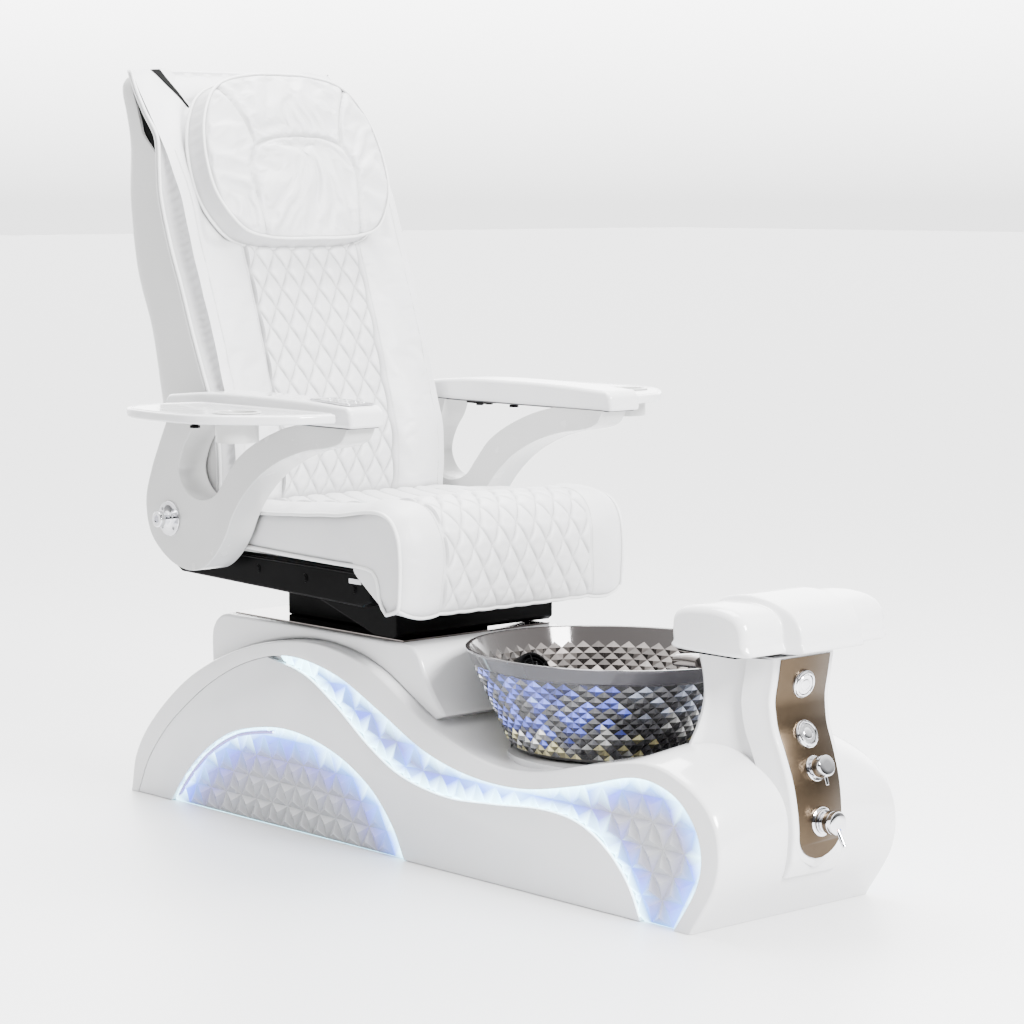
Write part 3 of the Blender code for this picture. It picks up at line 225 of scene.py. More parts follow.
# ---------------------------------------------------------------- shapes
def smooth(points, steps=3):
    """An open Catmull-Rom curve through the points, in any number of dimensions."""
    pts = [Vector(p) for p in points]
    ends = [2 * pts[0] - pts[1]] + pts + [2 * pts[-1] - pts[-2]]
    out = []
    for i in range(1, len(ends) - 2):
        a, b, c, d = ends[i - 1:i + 3]
        for k in range(steps):
            t = k / steps
            out.append(0.5 * (2 * b + (c - a) * t + (2 * a - 5 * b + 4 * c - d) * t ** 2
                              + (3 * b - a - 3 * c + d) * t ** 3))
    return out + [pts[-1]]


def resampled(points, count):
    """The same line with points at equal steps of its length."""
    pts, steps = line_run(points)
    at = np.linspace(0, steps[-1], count)
    return [Vector([np.interp(s, steps, pts[:, k]) for k in range(pts.shape[1])]) for s in at]


def shifted(points, distance):
    """An open line moved sideways, to the left of its own direction for a positive distance."""
    out = []
    for i, p in enumerate(points):
        along = (points[min(i + 1, len(points) - 1)] - points[max(i - 1, 0)]).normalized()
        out.append(p + Vector((-along.y, along.x)) * distance)
    return out


def trimmed(points, low):
    """The part of an open line above a height."""
    out = []
    for a, b in zip(points, points[1:]):
        if a.y >= low:
            out.append(a)
        if (a.y - low) * (b.y - low) < 0:
            out.append(a.lerp(b, (low - a.y) / (b.y - a.y)))
    return out + ([points[-1]] if points[-1].y >= low else [])


def along_y(line, z):
    for a, b in zip(line, line[1:]):
        low, high = sorted((a.y, b.y))
        if low <= z <= high and high > low:
            return a.x + (b.x - a.x) * (z - a.y) / (b.y - a.y)
    return (line[0] if abs(line[0].y - z) < abs(line[-1].y - z) else line[-1]).x


def turns(count):
    return [2 * math.pi * k / count for k in range(count)]


def circle(cx, cy, rx, ry=None, count=64):
    return [Vector((cx + rx * math.cos(a), cy + (ry or rx) * math.sin(a))) for a in turns(count)]


def finish_piece(name, bm, mat, body, replaces=(), sharp=38.0, normals=True):
    """A piece from a bmesh in outline coordinates, riding on its body."""
    if normals:
        bmesh.ops.recalc_face_normals(bm, faces=bm.faces)
    bmesh.ops.translate(bm, verts=bm.verts, vec=(0, SHIFT, 0))
    mesh = bpy.data.meshes.new(name)
    bm.to_mesh(mesh)
    bm.free()
    obj = bpy.data.objects.new(name, mesh)
    bpy.context.scene.collection.objects.link(obj)
    if mat is None:
        obj.hide_render = True
        obj.hide_viewport = True
        return obj
    mesh.materials.append(mat)
    mesh.shade_smooth()
    mesh.set_sharp_from_angle(angle=math.radians(sharp))
    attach(obj, body)
    if replaces:
        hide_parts(*replaces)
    return obj


def rounded(obj, width, segments=3, angle=40.0):
    rim = obj.modifiers.new("round_edges", "BEVEL")
    rim.width = width
    rim.segments = segments
    rim.limit_method = "ANGLE"
    rim.angle_limit = math.radians(angle)
    rim.harden_normals = False
    return obj


def bridge(bm, a, b):
    """Quads between two closed loops of vertices."""
    for k in range(len(a)):
        n = (k + 1) % len(a)
        bm.faces.new((a[k], a[n], b[n], b[k]))


def skin(bm, loops, flip=False):
    """Quads between neighbouring loops, and a face over each end."""
    for a, b in zip(loops, loops[1:]):
        bridge(bm, a, b)
    bm.faces.new(loops[0] if flip else loops[0][::-1])
    bm.faces.new(loops[-1][::-1] if flip else loops[-1])
    return bm


def loft(name, rings, mat, body, replaces=(), sharp=38.0):
    bm = bmesh.new()
    skin(bm, [[bm.verts.new(p) for p in ring] for ring in rings])
    return finish_piece(name, bm, mat, body, replaces, sharp)


def prism(name, outline, low, high, mat, body, replaces=(), view="side", edge=0.0, segments=3):
    """A flat outline with a thickness: (Y, Z) spread along X, or (X, Y) spread along Z."""
    rings = [[(d, p[0], p[1]) if view == "side" else (p[0], p[1], d) for p in outline] for d in sorted((low, high))]
    obj = loft(name, rings, mat, body, replaces)
    return rounded(obj, edge, segments, 50.0) if edge else obj


def turned(name, profile, mat, body, at, axis, replaces=(), count=48, sharp=30.0, lift=0.0):
    """A turned shape; its profile is (radius, height along the axis)."""
    turn = Vector(axis).to_track_quat("Z", "Y").to_matrix().to_4x4()
    place = Matrix.Translation(Vector(at)) @ turn
    rings = [[place @ Vector((p.x, p.y, h + lift)) for p in circle(0, 0, r, count=count)] for r, h in profile]
    return loft(name, rings, mat, body, replaces, sharp)


def both_sides(half):
    """Distances from the middle, first to one side and then to the other."""
    return [-x for x in reversed(half[1:])] + half


def mirrored(half, shared=0):
    """A half outline followed by its mirror image, without the points at its end that both share."""
    return half + [Vector((-p.x, *p[1:])) for p in reversed(half[:len(half) - shared])]


def bar_bm(start, end, radius, count=24, tip=None):
    a, b = Vector(start), Vector(end)
    bm = bmesh.new()
    bmesh.ops.create_cone(bm, cap_ends=True, segments=count, radius1=radius,
                          radius2=radius if tip is None else tip, depth=(b - a).length)
    turn = (b - a).to_track_quat("Z", "Y").to_matrix().to_4x4()
    bmesh.ops.transform(bm, matrix=Matrix.Translation((a + b) / 2) @ turn, verts=bm.verts)
    return bm


def bar(name, start, end, radius, mat, body, replaces=(), count=24, tip=None, edge=0.0):
    obj = finish_piece(name, bar_bm(start, end, radius, count, tip), mat, body, replaces)
    return rounded(obj, edge, 2) if edge else obj


def box_bm(low, high):
    a, b = Vector(map(min, low, high)), Vector(map(max, low, high))
    bm = bmesh.new()
    bmesh.ops.create_cube(bm, size=1.0)
    bmesh.ops.transform(bm, matrix=Matrix.Translation((a + b) / 2) @ Matrix.Diagonal((*(b - a), 1.0)), verts=bm.verts)
    return bm


def block(name, low, high, mat, body, edge):
    return rounded(finish_piece(name, box_bm(low, high), mat, body), edge)


def inflated(piece, held, pressure, cap, slack, frames=10):
    """Blow a closed piece up by cloth simulation, its seams held, and keep the result as its mesh."""
    scene = bpy.context.scene
    mesh = piece.data
    before = [v.co.copy() for v in mesh.vertices]
    piece.vertex_groups.new(name="held").add(held, 1.0, "REPLACE")
    cloth = piece.modifiers.new("inflate", "CLOTH")
    rules = cloth.settings
    rules.quality, rules.mass, rules.bending_stiffness = 4, 0.3, 0.25
    rules.tension_stiffness = rules.compression_stiffness = 20.0
    rules.shear_stiffness = 8.0
    rules.use_pressure, rules.uniform_pressure_force = True, pressure
    rules.vertex_group_mass, rules.shrink_min = "held", -slack
    rules.effector_weights.gravity = 0.0
    cloth.collision_settings.use_collision = False
    cloth.point_cache.frame_start, cloth.point_cache.frame_end = 1, frames
    for frame in range(1, frames + 1):
        scene.frame_set(frame)
    done = piece.evaluated_get(bpy.context.evaluated_depsgraph_get()).to_mesh()
    after = [v.co.copy() for v in done.vertices]
    piece.evaluated_get(bpy.context.evaluated_depsgraph_get()).to_mesh_clear()
    piece.modifiers.remove(cloth)
    piece.vertex_groups.clear()
    scene.frame_set(1)
    for v, old, new in zip(mesh.vertices, before, after):
        move = new - old
        v.co = old + move * min(1.0, cap / max(move.length, 1e-9))
    mesh.update()


def cut(obj, tool, operation="DIFFERENCE"):
    step = obj.modifiers.new(operation.lower() + "_" + tool.name, "BOOLEAN")
    step.operation = operation
    step.object = tool
    step.solver = "EXACT"
    return obj


def tube_bm(points, radius, sides=10, bm=None, closed=False):
    """A round bar along a line of points, for piping and thread."""
    bm = bm or bmesh.new()
    pts = [Vector(p) for p in points]
    count = len(pts)
    normal = None
    rings = []
    for i, p in enumerate(pts):
        ahead = pts[(i + 1) % count] if closed else pts[min(i + 1, count - 1)]
        behind = pts[i - 1] if (closed or i) else pts[0]
        along = (ahead - behind).normalized()
        if normal is None:
            normal = along.orthogonal().normalized()
        normal = (normal - along * normal.dot(along)).normalized()
        side = along.cross(normal)
        rings.append([bm.verts.new(p + (normal * math.cos(a) + side * math.sin(a)) * radius) for a in turns(sides)])
    if not closed:
        return skin(bm, rings)
    for a, b in zip(rings, rings[1:] + rings[:1]):
        bridge(bm, a, b)
    return bm


def tube(name, points, radius, mat, body, replaces=(), sides=10, closed=False):
    return finish_piece(name, tube_bm(points, radius, sides, closed=closed), mat, body, replaces, 60.0)


def line_run(points, axes=slice(None)):
    """A line's points as an array, and how far along the line each of them is."""
    pts = np.array([list(p) for p in points])
    return pts, np.concatenate(([0], np.cumsum(np.linalg.norm(np.diff(pts[:, axes], axis=0), axis=1))))


def stitches_bm(points, bm, pitch=0.0058, length=0.0040, radius=0.00045):
    """Short threads at equal steps along a line that lies on a cushion."""
    pts, steps = line_run(points)
    for s in np.arange(pitch / 2, steps[-1] - length, pitch):
        a, b = [Vector([np.interp(x, steps, pts[:, k]) for k in range(3)]) for x in (s, s + length)]
        if (b - a).length > length * 0.5:
            tube_bm([a, (a + b) / 2, b], radius, 5, bm)
    return bm


# ---------------------------------------------------------------- quilting
CELL_WIDE, CELL_TALL, CELL_STEPS = 0.133 / 3, 0.074, 16
CELL_HOLD = 0.10            # cloth is held where a cell's puff is below this share
SEAM_SPAN = 60              # stitch lines are looked for this many cells either way
STEP_X, STEP_S = CELL_WIDE / CELL_STEPS, CELL_TALL / CELL_STEPS


def puff(i, j, height):
    """Rise of the quilting at a grid point; the stitch lines run through the points' diagonals."""
    a, b = (i + j) / CELL_STEPS, (i - j) / CELL_STEPS
    return height * (abs(math.sin(math.pi * a)) * abs(math.sin(math.pi * b))) ** 0.42


def quilt_faces(bm, verts, middle, reach, quilted_rows, closed_rows=False):
    """Quads between rows of vertices, split along the stitch lines where they cross a quad."""
    rows, cols = len(verts), len(verts[0])
    for r in range(rows if closed_rows else rows - 1):
        nxt = (r + 1) % rows
        for c in range(cols - 1):
            a, b, d, e = verts[r][c], verts[r][c + 1], verts[nxt][c + 1], verts[nxt][c]
            i = c - middle
            if abs(i + 0.5) < reach and r < quilted_rows:
                if (i - r) % CELL_STEPS == 0:
                    bm.faces.new((a, b, d))
                    bm.faces.new((a, d, e))
                    continue
                if (i + 1 + r) % CELL_STEPS == 0:
                    bm.faces.new((a, b, e))
                    bm.faces.new((b, d, e))
                    continue
            bm.faces.new((a, b, d, e))


def quilt_seams(points, reach, middle, rows):
    """The stitch lines of both families, as lists of surface points."""
    lines = []
    for sign in (1, -1):
        for k in range(-SEAM_SPAN, SEAM_SPAN):
            line = []
            for j in range(rows):
                i = k * CELL_STEPS - sign * j
                if abs(i) <= reach:
                    line.append(points[j][middle + i])
            if len(line) > 4:
                lines.append(line)
    return lines


def spline_rows(stations, step, axes=[0, 1]):
    """Stations joined by a smooth line and set out again at equal steps of its length in two axes."""
    dense, run = line_run(smooth(stations, 14), axes)
    at = np.arange(0, run[-1], step)
    return np.array([[np.interp(s, run, dense[:, k]) for k in range(dense.shape[1])] for s in at])


def ease(t):
    t = min(1.0, max(0.0, t))
    return t * t * (3 - 2 * t)


# ---------------------------------------------------------------- back cushion
PILLOW_LEAN = math.radians(20.0)
PILLOW_FOOT = (1.2520, 1.100)
PILLOW_HALF = 0.0305
PILLOW_OUT = Vector((0, math.cos(PILLOW_LEAN), -math.sin(PILLOW_LEAN)))
# Front corner (Y, Z, half width), rear face (Y, Z) and depth of the side piping behind the corner.
BACK = [(1.140, 0.603, 0.250, 1.262, 0.606, 0.034), (1.138, 0.670, 0.252, 1.254, 0.660, 0.034),
        (1.144, 0.730, 0.253, 1.258, 0.725, 0.034), (1.162, 0.790, 0.253, 1.278, 0.790, 0.036),
        (1.184, 0.857, 0.254, 1.295, 0.850, 0.042), (1.204, 0.920, 0.255, 1.315, 0.915, 0.050),
        (1.236, 1.005, 0.256, 1.344, 1.000, 0.052), (1.257, 1.060, 0.257, 1.364, 1.055, 0.055),
        (1.271, 1.100, 0.257, 1.377, 1.092, 0.056), (1.294, 1.165, 0.256, 1.396, 1.155, 0.054),
        (1.328, 1.225, 0.255, 1.406, 1.215, 0.032), (1.366, 1.280, 0.252, 1.418, 1.270, 0.010),
        (1.410, 1.330, 0.248, 1.443, 1.318, 0.010), (1.452, 1.378, 0.243, 1.471, 1.366, 0.008),
        (1.482, 1.414, 0.237, 1.497, 1.402, 0.004)]
BACK_QUILT = 3 * CELL_STEPS                 # columns of the grid from the middle to the quilted panel's edge
BOLSTER_STEPS, SIDE_STEPS = 26, 12          # and then over the bolster, and back along its side
PIPE_STEPS = BACK_QUILT + BOLSTER_STEPS + SIDE_STEPS
BEHIND_PILLOW = BACK_QUILT + BOLSTER_STEPS + 2      # columns that step back where the head pillow lies
PANEL_HALF = 3 * CELL_WIDE


def back_section(row, j):
    """Half of one section across the back, as (x, depth behind the corner, kind)."""
    y, z, half, ry, rz, pipe = row
    depth = math.hypot(ry - y, rz - z)
    panel = 0.019 - 0.012 * min(1.0, max(0.0, (z - 0.79) / 0.30))
    panel = min(panel, depth * 0.5)
    fade = ease((z - 0.606) / 0.02)
    out = [(i * STEP_X, panel - puff(i, j, 0.0070) * fade) for i in range(BACK_QUILT + 1)]
    out[-1] = (PANEL_HALF, panel + 0.0020)
    for k in range(1, BOLSTER_STEPS + 1):
        s = k / BOLSTER_STEPS
        x = PANEL_HALF + (half - PANEL_HALF) * s
        rise = 1 - (1 - min(1.0, s / 0.42)) ** 2.4
        wave = 0.0009 * math.sin(z * 61 + x * 17) * math.sin(z * 23 + x * 90)
        out.append((x, panel * (1 - rise) - 0.0055 * math.sin(math.pi * min(1.0, s * 1.03)) + 0.0035 * s ** 8 + wave))
    side = 0.265 - 0.030 * ease((z - 1.17) / 0.25)
    side = max(side, half)
    sunk = 0.011 * min(1.0, pipe / 0.045)
    for k in range(1, SIDE_STEPS + 1):
        t = k / SIDE_STEPS
        x = half + (side - half) * t - sunk * math.sin(math.pi * t) ** 0.6
        slant = z / 0.015 + t * 1.3 + 0.35 * math.sin(z * 40)
        x += 0.0017 * math.sin(2 * math.pi * slant) * math.sin(math.pi * t) * min(1.0, pipe / 0.03)
        out.append((x, 0.0035 + (pipe - 0.0035) * t))
    low = min(pipe + 0.004, depth - 0.004)
    rise = depth - low
    out += [(side - 0.004, low), (side - 0.006, low + rise * 0.35), (side - 0.007, low + rise * 0.75),
            (side - 0.010, depth - 0.003), (side - 0.018, depth), (0.120, depth), (0.0, depth)]
    return out, Vector((0, ry - y, rz - z)).normalized()


def clear_of_pillow(p):
    """Surface points behind the head pillow step back so that the pillow lies on them."""
    behind = Vector((0, *PILLOW_FOOT)) + PILLOW_OUT * (PILLOW_HALF + 0.0010)
    short = -(p - behind).dot(PILLOW_OUT)
    weight = ease((p.z - 1.070) / 0.030) * ease((0.236 - abs(p.x)) / 0.030) * ease((1.405 - p.z) / 0.03)
    return p + PILLOW_OUT * (short * weight) if short > 0 else p


def make_back_cushion():
    rows = spline_rows(BACK, STEP_S)
    grid = []
    for j, row in enumerate(rows):
        section, deep = back_section(row, j)
        y, z = row[0], row[1]
        half = []
        for n, (x, d) in enumerate(section):
            p = Vector((x, y, z)) + deep * d
            half.append(clear_of_pillow(p) if n < BEHIND_PILLOW else p)
        grid.append([Vector((-p.x, p.y, p.z)) for p in reversed(half[1:-1])] + half)
    bm = bmesh.new()
    verts = [[bm.verts.new(p) for p in ring] for ring in grid]
    middle = len(grid[0]) - (len(half) - 1) - 1
    verts = [ring + [ring[0]] for ring in verts]
    quilt_faces(bm, verts, middle, BACK_QUILT, len(verts))
    bm.faces.new(list(reversed(verts[0][:-1])))
    bm.faces.new(verts[-1][:-1])
    cushion = finish_piece("back_cushion_leather", bm, LEATHER, "back", ["back_cushion"], 50.0)
    wide, reach = len(grid[0]), BACK_QUILT
    free = {j * wide + middle + k for j in range(6, len(rows) - 4) for k in range(-reach - 22, reach + 23)
            if (puff(k, j, 1.0) > CELL_HOLD and rows[j][1] < 1.09 if abs(k) < reach
                else abs(k) > reach + 2 and rows[j][1] < 1.06)}
    inflated(cushion, [v.index for v in cushion.data.vertices if v.index not in free], 2.0, 0.0035, 0.006)

    shown = [j for j, row in enumerate(rows) if row[1] < 1.135]
    thread = bmesh.new()
    front = Vector((0, -0.0006, 0.0002))
    for line in quilt_seams(grid, BACK_QUILT, middle, len(shown)):
        stitches_bm([p + front for p in line], thread)
    for side in (-1, 1):
        stitches_bm([grid[j][middle + side * (reach + 2)] + front for j in shown], thread)
        edge = [grid[j][middle + side * (reach + 22)] + front for j in range(len(rows)) if rows[j][1] < 1.26]
        stitches_bm(edge, thread, 0.0050, 0.0034)
    finish_piece("back_stitching", thread, THREAD, "back", (), 60.0)

    for side_name, side in SIDES.items():
        pick = middle + side * PIPE_STEPS
        path = [grid[j][pick] + Vector((side * 0.0012, 0, 0)) for j in range(0, len(rows), 2)] + [grid[-1][pick]]
        bm = tube_bm(path, 0.0036, 10)
        behind = [p + Vector((-side * 0.0004, 0.0078, -0.0006)) for p in path]
        tube_bm(behind, 0.0034, 10, bm)
        finish_piece("back_piping_" + side_name, bm, PIPING, "back", (), 60.0)
    return rows, grid, middle


back_table, back_grid, back_middle = make_back_cushion()


# ---------------------------------------------------------------- head pillow
PILLOW_EDGE = [(0.0, -0.018), (0.060, -0.018), (0.110, -0.014), (0.157, 0.000), (0.190, 0.038), (0.2095, 0.085),
               (0.2125, 0.145), (0.204, 0.200), (0.186, 0.245), (0.160, 0.280), (0.120, 0.301), (0.060, 0.311),
               (0.0, 0.313)]
PILLOW_ARCH = [(0.113, -0.020), (0.114, 0.010), (0.120, 0.050), (0.126, 0.090), (0.122, 0.124), (0.110, 0.152),
               (0.092, 0.168), (0.050, 0.179), (0.0, 0.183)]
PILLOW_SPOKE = [(0.103, 0.160), (0.112, 0.205), (0.128, 0.245), (0.152, 0.284)]
# Folds in the leather: two ends, half width and height.
PILLOW_FOLDS = [((-0.098, 0.000), (-0.060, 0.052), 0.008, 0.0050), ((-0.060, 0.052), (-0.030, 0.075), 0.009, 0.0030),
                ((-0.118, 0.110), (-0.088, 0.030), 0.010, 0.0040), ((0.060, 0.130), (0.085, 0.020), 0.010, 0.0042),
                ((0.095, 0.080), (0.104, 0.005), 0.007, 0.0030), ((-0.100, 0.150), (-0.060, 0.110), 0.009, 0.0030),
                ((-0.010, 0.190), (-0.012, 0.235), 0.006, 0.0026), ((0.022, 0.190), (0.004, 0.240), 0.006, 0.0030),
                ((0.050, 0.188), (0.026, 0.245), 0.006, 0.0032), ((0.075, 0.180), (0.052, 0.235), 0.006, 0.0026),
                ((0.128, 0.100), (0.178, 0.145), 0.008, 0.0034), ((0.124, 0.118), (0.165, 0.185), 0.008, 0.0030),
                ((-0.127, 0.080), (-0.180, 0.110), 0.010, 0.0022), ((-0.150, 0.030), (-0.175, 0.070), 0.010, 0.0022),
                ((0.020, 0.020), (0.045, 0.070), 0.012, 0.0022), ((-0.030, 0.010), (-0.005, 0.050), 0.012, 0.0020)]

SEAM_HOLD, PILLOW_STITCH_END = 0.0028, -0.012


def full_outline(half, count):
    pts = smooth([Vector(p) for p in half], 10)
    both = pts + [Vector((-p.x, p.y)) for p in reversed(pts[1:-1])]
    return resampled(both + [both[0]], count + 1)[:-1]


def line_gap(x, y, line):
    """Distance from a point to a line of points."""
    best = 1.0
    for (ax, ay), (bx, by) in zip(line, line[1:]):
        dx, dy = bx - ax, by - ay
        t = max(0.0, min(1.0, ((x - ax) * dx + (y - ay) * dy) / (dx * dx + dy * dy)))
        best = min(best, math.hypot(x - ax - t * dx, y - ay - t * dy))
    return best


def fold_lift(x, up, a, b, wide, tall):
    """Height of one soft fold that runs from a to b and fades out at both ends."""
    dx, dy = b[0] - a[0], b[1] - a[1]
    along = ((x - a[0]) * dx + (up - a[1]) * dy) / (dx * dx + dy * dy)
    if not -0.35 < along < 1.35:
        return 0.0
    gap = abs((x - a[0]) * dy - (up - a[1]) * dx) / math.hypot(dx, dy)
    fade = math.sin(math.pi * (along + 0.35) / 1.7) ** 1.6
    dip = 0.30 * math.exp(-((gap - wide * 1.8) / (wide * 0.9)) ** 2)
    return tall * fade * (math.exp(-(gap / (wide * 1.15)) ** 2) - dip)


def pillow_place(x, up, out):
    """World point (outline frame) of a pillow point: across, up the lean, out to the front."""
    along = Vector((0, math.sin(PILLOW_LEAN), math.cos(PILLOW_LEAN)))
    return Vector((x, *PILLOW_FOOT)) + along * up - PILLOW_OUT * out


def make_pillow():
    count, rings = 240, 64
    edge = full_outline(PILLOW_EDGE, count)
    centre = Vector((0.0, 0.150))
    arch = smooth([Vector(p) for p in PILLOW_ARCH], 5)
    arch = [tuple(p) for p in arch] + [(-p.x, p.y) for p in reversed(arch[:-1])]
    spokes = [[(s * p.x, p.y) for p in smooth([Vector(q) for q in PILLOW_SPOKE], 5)] for s in (1, -1)]

    def face_height(x, up, r):
        h = 0.0115 * (1 - r ** 3.2) - 0.0065 * r ** 16
        seam = min([line_gap(x, up, arch)] + [line_gap(x, up, s) for s in spokes])
        h -= 0.0052 * math.exp(-(seam / 0.0042) ** 2) - 0.0016 * math.exp(-((seam - 0.013) / 0.008) ** 2)
        for a, b, wide, tall in PILLOW_FOLDS:
            h += fold_lift(x, up, a, b, wide, 1.25 * tall)
        h += 0.0006 * math.sin(x * 85 + up * 30) * math.sin(up * 70 - x * 22)
        return h

    bm = bmesh.new()
    loops, free = [], {0}
    front = [bm.verts.new(pillow_place(0, centre.y, PILLOW_HALF + face_height(0, centre.y, 0)))]
    for k in range(1, rings + 1):
        r = k / rings
        ring = []
        for n, p in enumerate(edge):
            q = centre + (p - centre) * (r * 0.992)
            ring.append(bm.verts.new(pillow_place(q.x, q.y, PILLOW_HALF + face_height(q.x, q.y, r))))
            seam = min(line_gap(q.x, q.y, line) for line in [arch] + spokes)
            if k < rings - 1 and seam > SEAM_HOLD:
                free.add(1 + (k - 1) * count + n)
        loops.append(ring)
    ruffle = [0.0012 * math.sin(a * 1.9) * math.sin(a * 0.61 + 1) for a in range(count)]
    for t in (0.06, 0.2, 0.4, 0.6, 0.8, 0.94):
        out = PILLOW_HALF - 0.0065 - (2 * PILLOW_HALF - 0.010) * t
        bow = -0.0035 * math.sin(math.pi * t)
        wall = [p + (p - centre).normalized() * (bow + ruffle[n] * math.sin(math.pi * t) + 0.004 * t)
                for n, p in enumerate(edge)]
        loops.append([bm.verts.new(pillow_place(q.x, q.y, out)) for q in wall])
    for r in (0.96, 0.7, 0.35):
        loops.append([bm.verts.new(pillow_place(*(centre + (p - centre) * r), -PILLOW_HALF)) for p in edge])
    for k in range(count):
        bm.faces.new((front[0], loops[0][k], loops[0][(k + 1) % count]))
    for a, b in zip(loops, loops[1:]):
        bridge(bm, a, b)
    bm.faces.new(loops[-1])
    pillow = finish_piece("head_pillow_leather", bm, LEATHER, "back", ["head_pillow"], 60.0)
    inflated(pillow, [v.index for v in pillow.data.vertices if v.index not in free], 3.0, 0.008, 0.035)

    front_line = [pillow_place(*(centre + (p - centre) * 1.002), PILLOW_HALF - 0.0065) for p in edge]
    rear_line = [pillow_place(*(centre + (p - centre) * 1.022), -PILLOW_HALF + 0.0035) for p in edge]
    bm = tube_bm(front_line, 0.0030, 10, None, True)
    tube_bm(rear_line, 0.0038, 10, bm, True)
    finish_piece("head_pillow_piping", bm, PIPING, "back", (), 60.0)

    thread = bmesh.new()
    for line in [arch] + spokes:
        shown = []
        for x, up in line:
            if up > PILLOW_STITCH_END:
                r = min(1.0, (Vector((x, up)) - centre).length / 0.19)
                shown.append(pillow_place(x, up, PILLOW_HALF + face_height(x, up, r * 0.9) + 0.0006))
        stitches_bm(shown, thread, 0.0056)
    finish_piece("head_pillow_stitching", thread, THREAD, "back", (), 60.0)


make_pillow()


# ---------------------------------------------------------------- seat cushion
SEAT_TOP = [(1.150, 0.6035), (1.060, 0.606), (0.934, 0.614), (0.820, 0.622), (0.735, 0.634), (0.678, 0.624),
            (0.650, 0.590), (0.642, 0.545), (0.643, 0.490), (0.648, 0.455), (0.664, 0.443)]
SEAT_UNDER = [(0.694, 0.446), (0.711, 0.466), (0.720, 0.505), (0.745, 0.5215), (0.850, 0.5240), (1.000, 0.5270),
              (1.149, 0.5320)]
SEAT_HALF = 0.265
SEAT_QUILT = 4 * CELL_STEPS


def make_seat_cushion():
    rows = spline_rows(SEAT_TOP, STEP_S)
    under = resampled(smooth(SEAT_UNDER, 6), 60)
    outer = 18
    sides = [SEAT_QUILT * STEP_X + (SEAT_HALF - SEAT_QUILT * STEP_X) * (1 - (1 - k / outer) ** 1.4)
             for k in range(1, outer + 1)]
    columns = [-x for x in reversed(sides)] + [i * STEP_X for i in range(-SEAT_QUILT, SEAT_QUILT + 1)] + sides
    middle = len(columns) // 2
    grid = []
    for j, row in enumerate(rows):
        p = Vector(row)
        along = Vector(rows[min(j + 1, len(rows) - 1)]) - Vector(rows[max(j - 1, 0)])
        normal = Vector((along.y, -along.x)).normalized()
        flare = 1.0 - 0.035 * math.exp(-((p.y - 0.545) / 0.05) ** 2)
        line = []
        for c, x in enumerate(columns):
            i = c - middle
            a = abs(x)
            crown = 0.0030 * (1 - (a / SEAT_HALF) ** 2)
            edge = -0.0105 * max(0.0, (a - 0.205) / 0.060) ** 2.6
            rise = crown + edge
            if abs(i) < SEAT_QUILT:
                start = ease((1.146 - p.x) / 0.02) * (1 - 0.8 * ease((0.472 - p.y) / 0.026))
                rise += puff(i, j, 0.0062) * start
            elif a > SEAT_QUILT * STEP_X:
                rise += 0.0058 * math.sin(math.pi * min(1.0, (a - SEAT_QUILT * STEP_X) / 0.082)) ** 0.7
                rise += 0.0007 * math.sin(p.x * 60 + p.y * 45) * math.sin(a * 70 + p.x * 20)
            q = p + normal * rise
            width = x * (flare if a < 0.18 else flare + (1 - flare) * ease((a - 0.18) / 0.06))
            line.append(Vector((width, q.x, q.y)))
        grid.append(line)
    bm = bmesh.new()
    verts = [[bm.verts.new(p) for p in line] for line in grid]
    for p in under:
        verts.append([bm.verts.new((x * 0.985, p.x, p.y)) for x in columns])
    quilt_faces(bm, verts, middle, SEAT_QUILT, len(grid), True)
    for col, side in ((0, -1), (len(columns) - 1, 1)):
        rim = [line[col] for line in verts]
        hub = sum((v.co for v in rim), Vector()) / len(rim)
        last = rim
        for shrink, depth in ((0.985, 0.0035), (0.93, 0.0050), (0.80, 0.0030), (0.5, 0.0020)):
            ring = [bm.verts.new((side * (SEAT_HALF - depth), hub.y + (v.co.y - hub.y) * shrink,
                                  hub.z + (v.co.z - hub.z) * shrink)) for v in rim]
            bridge(bm, last, ring)
            last = ring
        bm.faces.new(last)
    cushion = finish_piece("seat_cushion_leather", bm, LEATHER, "seat", ["seat_cushion"], 50.0)
    free = {j * len(columns) + middle + i for j in range(6, len(grid) - 4) for i in range(6 - middle, middle - 5)
            if (puff(i, j, 1.0) > CELL_HOLD if abs(i) < SEAT_QUILT else abs(i) > SEAT_QUILT + 2)}
    inflated(cushion, [v.index for v in cushion.data.vertices if v.index not in free], 2.0, 0.0035, 0.006)

    thread = bmesh.new()
    for line in quilt_seams(grid, SEAT_QUILT, middle, len(grid)):
        stitches_bm([p + Vector((0, -0.0003, 0.0003)) for p in line], thread)
    for col in (middle - SEAT_QUILT - 1, middle + SEAT_QUILT + 1):
        stitches_bm([line[col] + Vector((0, -0.0004, 0.0004)) for line in grid], thread)
    finish_piece("seat_stitching", thread, THREAD, "seat", (), 60.0)
    for side_name, side in SIDES.items():
        col = 0 if side < 0 else len(columns) - 1
        loop = [line[col] + Vector((side * 0.0008, 0, 0)) for line in grid[::2]]
        low = [Vector((side * 0.2622, p.x, p.y)) for p in under[::2]]
        bm = tube_bm(loop + low, 0.0038, 10, None, True)
        finish_piece("seat_piping_" + side_name, bm, PIPING, "seat", (), 60.0)
    hem = min(range(len(grid)), key=lambda j: abs(rows[j][1] - 0.4475) + (0 if rows[j][0] < 0.68 else 1))
    tube("seat_piping_front", [p + Vector((0, -0.0012, -0.0012)) for p in grid[hem]], 0.0034, PIPING, "seat")


make_seat_cushion()


